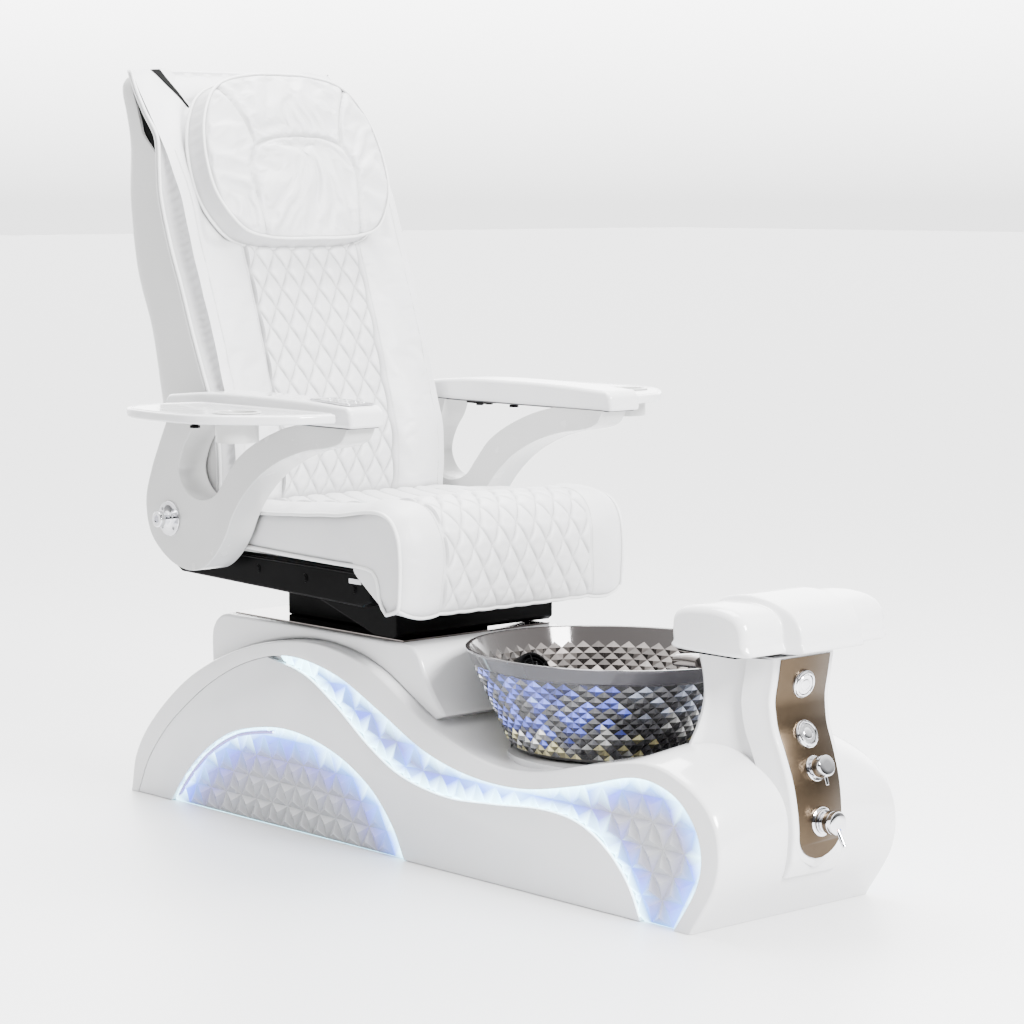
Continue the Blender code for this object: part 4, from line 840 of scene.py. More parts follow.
# ---------------------------------------------------------------- back shell and the gap behind the wings
SHELL = [(1.264, 0.600, 0.265, 0.103), (1.280, 0.690, 0.265, 0.103), (1.306, 0.790, 0.265, 0.103),
         (1.336, 0.918, 0.265, 0.103), (1.381, 1.030, 0.265, 0.103), (1.408, 1.163, 0.262, 0.100),
         (1.426, 1.266, 0.252, 0.090), (1.454, 1.326, 0.243, 0.084), (1.474, 1.358, 0.238, 0.080),
         (1.487, 1.378, 0.235, 0.069), (1.493, 1.388, 0.232, 0.056), (1.497, 1.395, 0.229, 0.038),
         (1.500, 1.399, 0.226, 0.014)]


def make_back_shell():
    side_col = back_middle + PIPE_STEPS
    pipe = [Vector((grid[side_col].y, grid[side_col].z)) for grid in back_grid]
    rings, wall = [], 0.006
    for near, z, half, deep in spline_rows(SHELL, 0.006):
        front = min(near, along_y(pipe, z) + 0.0105)
        front += (near - front) * ease((z - 1.235) / 0.060)
        line = []
        for k in range(8):
            line.append((half + 0.0010, front + (near - front) * k / 8))
        for i in range(33):
            angle = math.pi / 2 * i / 32
            c, s = math.cos(angle), math.sin(angle)
            line.append((half * c ** 0.5 + 0.0010 * (1 - i / 32), near + deep * s ** 0.5))
        inner = []
        for x, y in line:
            scale = wall * min(1.0, max(0.3, x / 0.05))
            inner.append((max(0.0, x - scale) if y < near + deep * 0.9 else x * (half - wall) / half,
                          y if y <= near else near + (y - near) * (deep - wall) / deep))
        half_ring = [Vector((x, y, z)) for x, y in line]
        half_in = [Vector((x, y, z)) for x, y in inner]
        rings.append(mirrored(half_ring, 1) + mirrored(half_in, 1)[::-1])
    loft("back_shell_moulding", rings, SHELL_WHITE, "back", ["back_shell"], 45.0)


def make_gap_lining():
    """Black mesh that shows between the wings, the rear shell and the top flap."""
    side_col = back_middle + PIPE_STEPS
    bm = bmesh.new()
    for side in (-1, 1):
        lines = []
        for j in range(0, len(back_grid), 3):
            p = back_grid[j][side_col]
            if p.z < 1.215:
                continue
            near, half = [np.interp(p.z, [s[1] for s in SHELL], [s[k] for s in SHELL]) for k in (0, 2)]
            start = Vector((side * (p.x - 0.006), p.y + 0.006, p.z - 0.002))
            end = Vector((side * (half - 0.010), min(near + 0.016, p.y + 0.075), p.z - 0.004))
            lines.append([start.lerp(end, t / 6) + Vector((side * 0.003 * math.sin(math.pi * t / 6), 0, 0))
                          for t in range(7)])
        out = [[bm.verts.new(p) for p in line] for line in lines]
        back = [[bm.verts.new(p - Vector((side * 0.003, 0, 0))) for p in line] for line in lines]
        skin(bm, [a + b[::-1] for a, b in zip(out, back)], True)
    finish_piece("back_side_mesh", bm, MESH, "back", (), 60.0)


def surface_at(j, x):
    """Point of the back cushion's front surface, on one row of its grid, at a distance from the middle."""
    reach = BACK_QUILT + BOLSTER_STEPS
    line = sorted((back_grid[j][back_middle + k] for k in range(-reach, reach + 1)), key=lambda p: p.x)
    xs = [p.x for p in line]
    return Vector((x, np.interp(x, xs, [p.y for p in line]), np.interp(x, xs, [p.z for p in line])))


def make_top_flap():
    """White flap over the top of the back; a black gap shows between it and each wing."""
    rows = back_grid
    front = [ring[back_middle].yz for ring in rows[::2] if ring[back_middle].z > 1.290]
    over = [(1.500, 1.4115), (1.520, 1.4035), (1.538, 1.392), (1.547, 1.380)]
    line = resampled(smooth([p + Vector((-0.0045, 0.0015)) for p in front] + over, 4), 44)
    under = shifted(line, -0.006)
    bm = bmesh.new()
    columns = [-0.183 + 0.366 * k / 60 for k in range(61)]
    loops = []
    for p, q in zip(line, under):
        top, low = [], []
        for x in columns:
            edge = max(0.0, abs(x) - 0.172) / 0.011
            drop = 0.0030 * edge ** 2
            sag = 0.0018 * math.sin(x * 41 + p.y * 30) * math.sin(x * 13)
            top.append(Vector((x, p.x + drop * 0.8 + sag * 0.4, p.y - drop * 0.5)))
            low.append(Vector((x, q.x, q.y)))
        loops.append([bm.verts.new(v) for v in top + list(reversed(low))])
    flap = finish_piece("back_top_flap_leather", skin(bm, loops, True), LEATHER, "back", ["back_top_flap"], 45.0)
    strip = bmesh.new()
    shown = [j for j in range(len(rows)) if 1.300 < back_table[j][1] < 1.409]
    for side in (-1, 1):
        loops = []
        for n, j in enumerate(shown if side < 0 else shown[:-3]):
            t = n / (len(shown) - 1)
            low, wide = 0.134 + 0.047 * t, 0.0034 + 0.0165 * t ** 1.5
            over = [surface_at(j, side * (low + wide * k / 4)) + Vector((0, -0.0011, 0.0006)) for k in range(5)]
            under = [p + Vector((0, 0.0040, -0.0020)) for p in reversed(over)]
            loops.append([strip.verts.new(p) for p in over + under])
        skin(strip, loops, True)
    finish_piece("back_top_gap", strip, MESH, "back", (), 60.0)


# ---------------------------------------------------------------- base
BASE_EDGE = [(1.556, 0.0), (1.535, 0.082), (1.470, 0.163), (1.352, 0.254), (1.206, 0.320), (1.060, 0.355),
             (0.930, 0.360), (0.800, 0.332), (0.651, 0.257), (0.504, 0.211), (0.377, 0.209), (0.229, 0.242),
             (0.100, 0.264), (0.010, 0.242), (-0.045, 0.203), (-0.067, 0.149), (-0.058, 0.085), (-0.004, 0.0)]
PANEL_EDGE = [(1.532, -0.002), (1.490, 0.078), (1.410, 0.162), (1.280, 0.252), (1.150, 0.308), (1.030, 0.328),
              (0.900, 0.309), (0.781, 0.261), (0.660, 0.207), (0.536, 0.179), (0.400, 0.176), (0.259, 0.202),
              (0.130, 0.235), (0.050, 0.226), (0.000, 0.192), (-0.026, 0.140), (-0.018, 0.080), (0.034, -0.002)]
LIGHT_EDGE = [(1.082, 0.318), (0.990, 0.297), (0.900, 0.250), (0.810, 0.192), (0.720, 0.151), (0.600, 0.132),
              (0.479, 0.138), (0.350, 0.149), (0.260, 0.140), (0.190, 0.105), (0.140, 0.055), (0.110, -0.002)]
DOME_EDGE = [(1.420, -0.002), (1.372, 0.057), (1.305, 0.115), (1.224, 0.159), (1.140, 0.180), (1.053, 0.188),
             (0.963, 0.178), (0.876, 0.152), (0.800, 0.110), (0.745, 0.055), (0.712, -0.002)]
BASE_HALF, POCKET_DEPTH, NOSE_CROWN, EDGE_ROUND = 0.212, 0.014, 0.034, 0.006
DECK_TOP, BOWL_Y = 0.216, 0.392

base_line = smooth(BASE_EDGE, 6)
panel_line = smooth(PANEL_EDGE, 6)
light_line = smooth(LIGHT_EDGE, 6)
dome_line = smooth(DOME_EDGE, 6)


def crowned(x):
    """The base's side outline at a distance from its centre plane, its edge rounded, its nose crowned."""
    edge = max(0.0, abs(x) - (BASE_HALF - EDGE_ROUND)) / EDGE_ROUND
    tuck = -EDGE_ROUND * (1 - math.sqrt(max(0.0, 1 - edge * edge))) * 0.8
    rise = NOSE_CROWN * (1.0 - min(1.0, abs(x) / (BASE_HALF - EDGE_ROUND * 0.2)) ** 3.2)
    out = []
    for i, p in enumerate(base_line):
        along = (base_line[min(i + 1, len(base_line) - 1)] - base_line[max(i - 1, 0)]).normalized()
        normal = Vector((along.y, -along.x))
        fade = ease((0.180 - p.x) / 0.125)
        lift = rise * fade * (0.2 + 0.8 * max(0.0, normal.y))
        moved = p + normal * (lift * min(1.0, p.y / 0.080) + tuck)
        out.append(Vector((moved.x, p.y if p.y == 0.0 else moved.y)))
    return out


def make_base():
    half = [0.0, 0.03, 0.06, 0.09, 0.115, 0.14, 0.16, 0.176, 0.188, 0.197, 0.203]
    half += [BASE_HALF - EDGE_ROUND * (1 - math.sin(a)) for a in (0.3, 0.55, 0.8, 1.05, 1.3, math.pi / 2)]
    shell = loft("base_moulding", [[Vector((x, p.x, p.y)) for p in crowned(x)] for x in both_sides(half)], WHITE,
                 "base", ["base_shell"], 42.0)
    deck = prism("deck", circle(0, BOWL_Y, 0.178, 0.197, 96), 0.150, DECK_TOP, None, "base", view="top")
    cut(shell, deck, "UNION")
    over = prism("deck_clear", circle(0, BOWL_Y, 0.172, 0.191, 96), DECK_TOP, 0.300, None, "base", view="top")
    cut(shell, over)
    for side_name, side in SIDES.items():
        cut(shell, prism("pocket_" + side_name, panel_line, side * (BASE_HALF - POCKET_DEPTH),
                         side * (BASE_HALF + 0.010), None, "base"))
    inside = BASE_HALF - POCKET_DEPTH - 0.012
    hollow = [(0.06, -0.01), (0.06, 0.150), (0.60, 0.150), (0.75, 0.240), (0.90, 0.300), (1.10, 0.290),
              (1.30, 0.220), (1.44, 0.100), (1.48, -0.01)]
    cut(shell, prism("base_hollow", hollow, -inside, inside, None, "base"))
    baked(shell, 42.0)
    rounded(shell, 0.0022, 2, 55.0)


def baked(obj, sharp):
    """Apply a piece's modifiers now, so that its faces can be painted or rounded afterwards."""
    bpy.context.view_layer.update()
    mesh = bpy.data.meshes.new_from_object(obj.evaluated_get(bpy.context.evaluated_depsgraph_get()))
    obj.modifiers.clear()
    obj.data = mesh
    mesh.shade_smooth()
    mesh.set_sharp_from_angle(angle=math.radians(sharp))
    return obj


# ---------------------------------------------------------------- side lights
LATTICE = 0.048
VIOLET, CYAN, ICE = (0.100, 0.064, 0.92), (0.050, 0.32, 0.95), (0.50, 0.88, 1.0)
GREYS = (0.50, 0.505, 0.515)
ICE_GLOW, CYAN_GLOW, VIOLET_GLOW = 7.0, 3.0, 2.0


def star_sheet(y0, y1, z0, z1, x_flat, side, height):
    """A lattice of triangles, each raised to a point in its middle, over a flat back."""
    bm = bmesh.new()
    tall = LATTICE * math.sqrt(3) / 2
    rows, cols = int((z1 - z0) / tall) + 3, int((y1 - y0) / LATTICE) + 3
    flat = {}
    for r in range(rows):
        for c in range(cols):
            y = y0 - LATTICE + (c + 0.5 * (r % 2)) * LATTICE
            flat[r, c] = bm.verts.new((x_flat, y, z0 - tall + r * tall))
    for r in range(rows - 1):
        for c in range(cols - 1):
            s = r % 2
            for tri in (((r, c), (r, c + 1), (r + 1, c + s)), ((r + 1, c + s), (r, c + 1), (r + 1, c + 1)) if s == 0
                        else ((r + 1, c), (r + 1, c + 1), (r, c))):
                corners = [flat[k] for k in tri]
                peak = sum((v.co for v in corners), Vector()) / 3 + Vector((side * height, 0, 0))
                top = bm.verts.new(peak)
                for k in range(3):
                    bm.faces.new((corners[k], corners[(k + 1) % 3], top))
    edge = bmesh.ops.extrude_edge_only(bm, edges=[e for e in bm.edges if e.is_boundary])
    rim = [v for v in edge["geom"] if isinstance(v, bmesh.types.BMVert)]
    for v in rim:
        v.co.x = x_flat - side * 0.020
    bmesh.ops.contextual_create(bm, geom=[e for e in bm.edges if e.is_boundary])
    bmesh.ops.recalc_face_normals(bm, faces=bm.faces)
    return bm


def edge_gap(y, z, line):
    return min(line_gap(y, z, [tuple(a), tuple(b)]) for a, b in line)


def paint_light(obj, lines, soft):
    """Paint a lens with painted light: icy white at the lit edges, then blue and violet facets, then grey-white ones,
    in its colour and its glow; each facet's grey is painted shade, lighter where it faces up and a little darker where
    it faces to the rear, and the violet is painted stronger on some facets by the way they face.
    """
    mesh = obj.data
    tone = mesh.color_attributes.new("tone", "FLOAT_COLOR", "CORNER")
    glow = mesh.color_attributes.new("tone_glow", "FLOAT_COLOR", "CORNER")
    segments = [(a, b) for line in lines for a, b in zip(line, line[1:])]
    near = {v.index: edge_gap(v.co.y - SHIFT, v.co.z, segments) for v in mesh.vertices}
    for poly in mesh.polygons:
        normal = poly.normal
        facing = 0.5 + 0.5 * math.cos(3 * math.atan2(normal.z, normal.y) + (0.6 if normal.y > 0 else 2.2))
        # painted shade: a facet's grey is lighter where it faces up and a little darker where it faces to the rear
        shade = 0.86 + 0.42 * normal.z - 0.16 * normal.y
        jitter = 0.5 + 0.5 * math.sin(poly.center.y * 311 + poly.center.z * 173)
        for loop in poly.loop_indices:
            d = near[mesh.loops[loop].vertex_index]
            ice = math.exp(-(d / (soft * 0.42)) ** 2)
            blue = math.exp(-(d / (soft * 1.20)) ** 2) * (1 - ice)
            violet = math.exp(-(d / (soft * 2.2)) ** 2) * (1 - ice) * (0.20 + 0.80 * facing) * (0.5 + 0.5 * jitter)
            # painted light: the LEDs' violet, cyan and icy light is painted into the base colour near the lit edges
            colour = Vector(GREYS) * shade
            colour = colour.lerp(Vector(VIOLET), min(1.0, violet * 1.30))
            colour = colour.lerp(Vector(CYAN), min(1.0, blue * (0.50 + 0.35 * (1 - facing))))
            colour = colour.lerp(Vector(ICE), min(1.0, ice))
            tone.data[loop].color = (*colour, 1)
            light = (Vector(ICE) * ice * ICE_GLOW + Vector(CYAN) * blue * CYAN_GLOW
                     + Vector(VIOLET) * violet * VIOLET_GLOW)
            glow.data[loop].color = (*light, 1)


def make_lights(side_name, side):
    back = BASE_HALF - POCKET_DEPTH
    x_flat = side * (back + 0.0030)
    inset = trimmed(shifted(panel_line, 0.0006), 0.0004)
    light = trimmed(light_line, 0.0004)
    split = min(range(len(inset)), key=lambda i: (inset[i] - light[0]).length)
    wave = inset[split + 1:] + list(reversed(light[1:]))
    dome = trimmed(dome_line, 0.0004)
    upper = inset[split + 1:]
    for name, outline, lit, soft, seed in (("wave_light_", wave, [upper, light], 0.017, 0.0),
                                           ("dome_light_", dome, [dome], 0.024, 0.011)):
        lows = [min(p[k] for p in outline) for k in (0, 1)]
        highs = [max(p[k] for p in outline) for k in (0, 1)]
        bm = star_sheet(lows[0] + seed, highs[0] + 0.05, lows[1], highs[1] + 0.05, x_flat, side, 0.0080)
        lens = finish_piece(name + side_name, bm, LENS, "base",
                            [name.replace("light", "lens") + side_name], 10.0, False)
        cut(lens, prism(name + "outline_" + side_name, outline, side * (back + 0.0005), side * (BASE_HALF + 0.004),
                        None, "base"), "INTERSECT")
        baked(lens, 8.0)
        paint_light(lens, lit, soft)

    glow_x = side * (BASE_HALF - 0.0045)
    path = [Vector((glow_x, p.x, p.y)) for p in shifted(light, 0.0015)[2:] if p.y > 0.005]
    tube("wave_light_line_" + side_name, path, 0.0022, GLOW, "base")
    dots = bmesh.new()
    run = resampled([p for p in shifted(dome[: int(len(dome) * 0.46)], 0.0085) if p.y > 0.008], 26)
    for p in run:
        add_bar(dots, (side * (BASE_HALF - 0.0060), p.x, p.y), (side * (BASE_HALF - 0.0035), p.x, p.y), 0.0026, 14,
                0.0016)
    finish_piece("dome_light_dots_" + side_name, dots, GLOW, "base", ["led_panel_" + side_name])
    strip = [Vector((side * (BASE_HALF - 0.0066), p.x, p.y)) for p in run]
    tube("dome_light_strip_" + side_name, strip, 0.0036, VIOLET_STRIP, "base")

    below = trimmed(shifted(light_line, 0.0010), 0.0004)
    rest = inset[:split] + below[3:]
    panel = prism("side_panel_face_" + side_name, rest, side * (back + 0.0026), side * (BASE_HALF - 0.0010), PANEL,
                  "base", ["side_panel_" + side_name])
    grown = shifted(dome_line, -0.0010)
    clear = [Vector((grown[0].x, -0.01))] + grown + [Vector((grown[-1].x, -0.01))]
    cut(panel, prism("dome_cut_" + side_name, clear, side * (back - 0.01), side * (BASE_HALF + 0.01), None, "base"))
    rounded(panel, 0.0016, 3, 60.0)


# ---------------------------------------------------------------- plinth and tower
PLATE_LINE = [(-0.052, 0.4340), (-0.047, 0.403), (-0.041, 0.369), (-0.042, 0.346), (-0.047, 0.318),
              (-0.060, 0.286), (-0.074, 0.247), (-0.082, 0.215), (-0.087, 0.178), (-0.088, 0.147), (-0.084, 0.108)]
TOWER_TOP, PLATE_FACE = 0.437, 0.0020
plate_line = smooth(PLATE_LINE, 8)


def plate_half(z):
    return 0.0580 - 0.0090 * min(1.0, max(0.0, (0.360 - z) / 0.210))


def button_frame(z):
    y = along_y(plate_line, z)
    slope = along_y(plate_line, z + 0.004) - along_y(plate_line, z - 0.004)
    return Vector((0, y, z)), Vector((0, -0.008, slope)).normalized()


def make_plinth():
    top = [(1.312, 0.280), (1.313, 0.330), (1.305, 0.358), (1.285, 0.376), (1.262, 0.382), (0.740, 0.382),
           (0.715, 0.379), (0.697, 0.366), (0.680, 0.335), (0.655, 0.300), (0.625, 0.268)]
    upper = smooth(top[:5], 5) + smooth(top[5:], 5)
    under = [p + Vector((0, 0.0004)) for p in base_line if 0.63 < p.x < 1.305]
    prism("plinth_moulding", upper + under[::-1], -0.188, 0.188, WHITE, "base", ["seat_plinth"], edge=0.010,
          segments=5)


def make_tower():
    line = [Vector((plate_line[0].x - 0.0005, TOWER_TOP))] + plate_line[1:] + [Vector((-0.070, 0.080))]

    def section(front):
        z = front.y
        t = (TOWER_TOP - z) / TOWER_TOP
        strip = plate_half(z) + 0.0125
        foot = ease((0.200 - z) / 0.110)
        rear_half = 0.118 - 0.012 * math.sin(math.pi * min(1.0, t / 0.36)) + 0.110 * t ** 2
        rear = 0.080 + 0.090 * t ** 2 - 0.006 * math.sin(math.pi * min(1.0, t / 0.36))
        y = front.x + 0.0004
        wide, deep = rear_half - strip, rear - y
        half = [(strip - 0.012, y)]
        for k in range(7):
            a = math.pi / 2 * k / 6
            half.append((strip - 0.006 + 0.006 * math.sin(a), y + 0.006 - 0.006 * math.cos(a)))
        cove = [(strip + 0.0008 + wide * foot * 0.05, y + 0.16 * deep), (strip + 0.07 * wide, y + 0.34 * deep),
                (strip + 0.22 * wide, y + 0.54 * deep), (strip + 0.46 * wide, y + 0.72 * deep),
                (strip + 0.74 * wide, y + 0.87 * deep)]
        half += [tuple(p) for p in smooth([half[-1]] + cove + [(rear_half - 0.001, rear - 0.010)], 4)[1:]]
        for k in range(1, 6):
            a = math.pi / 2 * k / 5
            half.append((rear_half - 0.009 + 0.008 * math.cos(a), rear - 0.010 + 0.010 * math.sin(a)))
        return mirrored([Vector((x, yy, z)) for x, yy in half])

    loft("tower_moulding", [section(p) for p in line], WHITE, "base", ["tower_shell"], 50.0)
    tongue_line = trimmed([Vector((p.x - 0.0002, p.y)) for p in plate_line] + [Vector((-0.079, 0.092))], 0.092)
    rings = []
    for p in tongue_line:
        half = plate_half(p.y) + 0.0125
        up = (p.y - 0.092) / 0.060
        if up < 1:
            half *= math.sqrt(max(0.02, 1 - (1 - up) ** 2))
        ring = []
        for k in range(9):
            a = math.pi / 2 * k / 8
            ring.append(Vector((half - 0.006 + 0.006 * math.sin(a), p.x + 0.006 * (1 - math.cos(a)), p.y)))
        ring.append(Vector((half + 0.004, p.x + 0.020, p.y)))
        ring.append(Vector((half + 0.014, p.x + 0.050, p.y)))
        rings.append(mirrored(ring))
    loft("tower_front_border", rings, WHITE, "base", (), 50.0)


def make_control_plate():
    rings = []
    for back, front in zip(plate_line, shifted(plate_line, -PLATE_FACE)):
        half = plate_half(back.y)
        from_end = (back.y - plate_line[-1].y) / 0.042
        if from_end < 1.0:
            half *= math.sqrt(max(0.03, 1.0 - (1.0 - from_end) ** 2))
        rings.append([Vector((-half, back.x - 0.0004, back.y)), Vector((half, back.x - 0.0004, back.y)),
                      Vector((half, front.x, front.y)), Vector((half - 0.0006, front.x - 0.0004, front.y)),
                      Vector((-half + 0.0006, front.x - 0.0004, front.y)), Vector((-half, front.x, front.y))])
    loft("bronze_front_plate", rings, BRONZE, "base", ["control_plate"], 35.0)


def make_controls():
    low = PLATE_FACE + 0.0002

    def dial(name, profile, body, part, lift=0.0):
        turned(name, profile, CHROME, body, at, normal, [part], 64, 24.0, lift)

    for name, z in (("upper", 0.389), ("lower", 0.305)):
        at, normal = button_frame(z)
        rim = [(0.0172, 0), (0.0172, 0.0072), (0.0180, 0.0082), (0.0196, 0.0084), (0.0212, 0.0074), (0.0222, 0.0054),
               (0.0234, 0.0046), (0.0238, 0.0034), (0.0238, 0)]
        dial(name + "_button_ring", rim, "base", name + "_bezel", low)
        cap = [(0.0090, -0.018), (0.0090, low + 0.0022), (0.0164, low + 0.0024), (0.0164, low + 0.0062),
               (0.0156, low + 0.0070), (0.0112, low + 0.0070), (0.0108, low + 0.0062), (0.0100, low + 0.0062),
               (0.0096, low + 0.0071), (0.0086, low + 0.0076), (0.0040, low + 0.0080)]
        dial(name + "_button_cap", cap, name + "_button", name + "_button")
    at, normal = button_frame(0.252)
    body = [(0.0155, -0.028), (0.0155, low), (0.0212, low), (0.0212, low + 0.0030), (0.0202, low + 0.0040),
            (0.0132, low + 0.0050), (0.0122, low + 0.0062), (0.0122, 0.0112)]
    dial("diverter_body", body, "base", "diverter_valve")
    knob = [(0.0158, 0.0114), (0.0174, 0.0120), (0.0178, 0.0130), (0.0178, 0.0300), (0.0172, 0.0314),
            (0.0158, 0.0320), (0.0080, 0.0322)]
    dial("diverter_grip", knob, "diverter", "diverter_knob")
    down = normal.cross(Vector((1, 0, 0))).normalized()
    tip = down * (-1 if down.z > 0 else 1)
    start = at + normal * 0.022 + tip * 0.014
    bar("diverter_pointer", start, start + tip * 0.017, 0.0036, CHROME, "diverter", (), 24, 0.0030, 0.0008)
    at, normal = button_frame(0.168)
    body = [(0.0155, -0.060), (0.0155, low), (0.0240, low), (0.0240, low + 0.0032), (0.0226, low + 0.0042),
            (0.0206, low + 0.0044), (0.0206, 0.0118), (0.0196, 0.0130), (0.0160, 0.0136), (0.0152, 0.0148),
            (0.0152, 0.0190)]
    dial("mixer_body", body, "base", "mixer_valve")
    cap = [(0.0172, 0.0194), (0.0186, 0.0202), (0.0190, 0.0214), (0.0190, 0.0300), (0.0184, 0.0306), (0.0190, 0.0312),
           (0.0190, 0.0392), (0.0182, 0.0404), (0.0164, 0.0410), (0.0080, 0.0411)]
    dial("mixer_cap", cap, "mixer", "mixer_handle")
    lever = (Vector((0, 0, -1)) * 0.75 + normal * 0.45).normalized()
    foot = at + normal * 0.032 + lever * 0.012
    bar("mixer_pin", foot, foot + lever * 0.030, 0.0044, CHROME, "mixer", (), 24, 0.0036, 0.0008)
    side = Vector((1, 0, 0))
    for name, mat, sign in (("mixer_dot_hot", RED_DOT, -1), ("mixer_dot_cold", BLUE_DOT, 1)):
        spot = at + normal * 0.0408 + lever * 0.0120 + side * (sign * 0.0028) - normal * lever.dot(normal) * 0.012
        bar(name, spot, spot + normal * 0.0008, 0.0021, mat, "mixer", (), 20, 0.0017)


# ---------------------------------------------------------------- foot bowl
BOWL_LOW, BOWL_RIM = (0.150, 0.165, 0.420), (0.246, 0.272, 0.392)
BOWL_BOTTOM, BOWL_TOP, BOWL_FLOOR = 0.2163, 0.398, 0.2163 + 0.007
OUTER_LOW, OUTER_HIGH, INNER_HIGH, INNER_LOW = BOWL_BOTTOM + 0.010, 0.368, 0.372, BOWL_FLOOR + 0.006
BOWL_SKIN = 0.0056                  # thickness of the wall between its two faceted faces
FACETS, BOWL_ROWS = 54, 14
BAND_OUT, BAND_IN = (0.046, 0.044, 0.051), (0.050, 0.045, 0.044)
PLAIN_OUT, PLAIN_IN = (0.02, 0.02, 0.022), (0.05, 0.047, 0.045)
OUTER_SEED, INNER_SEED = 11, 23


def bowl_oval(z):
    """Half width, half length and middle Y of the bowl at a height."""
    t = (z - BOWL_BOTTOM) / (BOWL_TOP - BOWL_BOTTOM)
    return [low + (top - low) * t for low, top in zip(BOWL_LOW, BOWL_RIM)]


def bowl_ring(bm, z, grow, row=0, height=0.0):
    """Vertices round the bowl; with a height, every other one stands out, and these shift from row to row."""
    a, b, y = bowl_oval(z)
    out = []
    for k, angle in enumerate(turns(FACETS * 2)):
        g = grow + (height if (k + row) % 2 == 0 else 0.0)
        out.append(bm.verts.new(((a + g) * math.cos(angle), y + (b + g) * math.sin(angle), z)))
    return out


def faceted_wall(bm, z_from, z_to, grow, height):
    """A band of diamond facets, each two rows tall, raised to a point in its middle."""
    grid = [bowl_ring(bm, z_from + (z_to - z_from) * r / BOWL_ROWS, grow, r, height if 0 < r < BOWL_ROWS else 0.0)
            for r in range(BOWL_ROWS + 1)]
    for r, (low, high) in enumerate(zip(grid, grid[1:])):
        for k in range(len(low)):
            n = (k + 1) % len(low)
            a, b, d, e = low[k], low[n], high[n], high[k]
            for face in (((a, b, e), (b, d, e)) if (k + r) % 2 == 0 else ((a, b, d), (a, d, e))):
                bm.faces.new(face)
    return grid


def diamond_key(mesh, poly, z_from, z_to):
    """Column and row of the diamond a facet belongs to, and which of its four facets it is."""
    count = FACETS * 2
    key = None
    for v in poly.vertices:
        c = mesh.vertices[v].co
        a, b, y = bowl_oval(c.z)
        k = round(math.atan2((c.y - SHIFT - y) / b, c.x / a) / (2 * math.pi) * count) % count
        r = round((c.z - z_from) / (z_to - z_from) * BOWL_ROWS)
        if (k + r) % 2 == 0:
            right = math.atan2(poly.center.x, -poly.center.y) > math.atan2(c.x, -c.y)
            key = k, r, (poly.center.z > c.z, right)
    return key


def outer_tone(poly, key):
    """Smoked facets by diamond: near black, with painted glints, blue and pale grey high up and warm and grey low
    down; each diamond's upper facets are painted lighter than its lower ones and its right-hand facets lighter than
    its left, and a few are painted brighter still as highlights.
    """
    k, r, (upper, right) = key
    rng = np.random.RandomState(OUTER_SEED + k * 131 + r * 7919)
    u, v = rng.random(), rng.random()
    z = r / BOWL_ROWS
    side = math.atan2(poly.center.x, -(poly.center.y - BOWL_Y - SHIFT))
    tint = np.array((0.060, 0.060, 0.066)) * (0.3 + 1.5 * v)
    # painted blue glints, on the wall's right-hand side and above its lowest rows
    violet = 0.66 * min(1.0, max(0.0, (-0.62 - side) / 0.55)) * min(1.0, max(0.0, (z - 0.12) / 0.25))
    if side > -2.2 and u < violet:
        tint = np.array((0.070, 0.095, 0.440)) * (0.4 + 1.7 * v)
    elif z > 0.45 and u < 0.32:
        tint = np.array((0.30, 0.33, 0.42)) * (0.4 + 1.4 * v)
    elif z <= 0.42 and u < 0.34:
        tint = np.array((0.62, 0.56, 0.30)) * (0.4 + 1.0 * v)
    elif z <= 0.62 and u < 0.52:
        tint = np.array((0.46, 0.46, 0.45)) * (0.4 + 1.2 * v)
    # painted light: upper facets lighter than lower ones, right-hand facets lighter than left, and a few doubled as
    # painted highlights
    level = (1.35 if right else 0.75) if upper else (0.26 if right else 0.12)
    if rng.random() < 0.07:
        level *= 2.0
    return np.clip(tint * level, 0, 0.9)


def inner_tone(key):
    """Pale grey-brown facets, darker below, with painted shade and highlights: each diamond's facets painted lighter
    or darker by the way they face, and a few painted bright as highlights.
    """
    k, r, (upper, right) = key
    rng = np.random.RandomState(INNER_SEED + k * 173 + r * 6007)
    # painted shade: the four facets of a diamond get different levels by the way they face
    level = (0.145, 0.052) if upper else (0.020, 0.085)
    # a few facets get a painted highlight
    spark = 2.6 if rng.random() < 0.10 else 1.0
    return np.array((1.0, 0.90, 0.85)) * level[0 if right else 1] * (0.50 + 0.95 * rng.random()) * spark


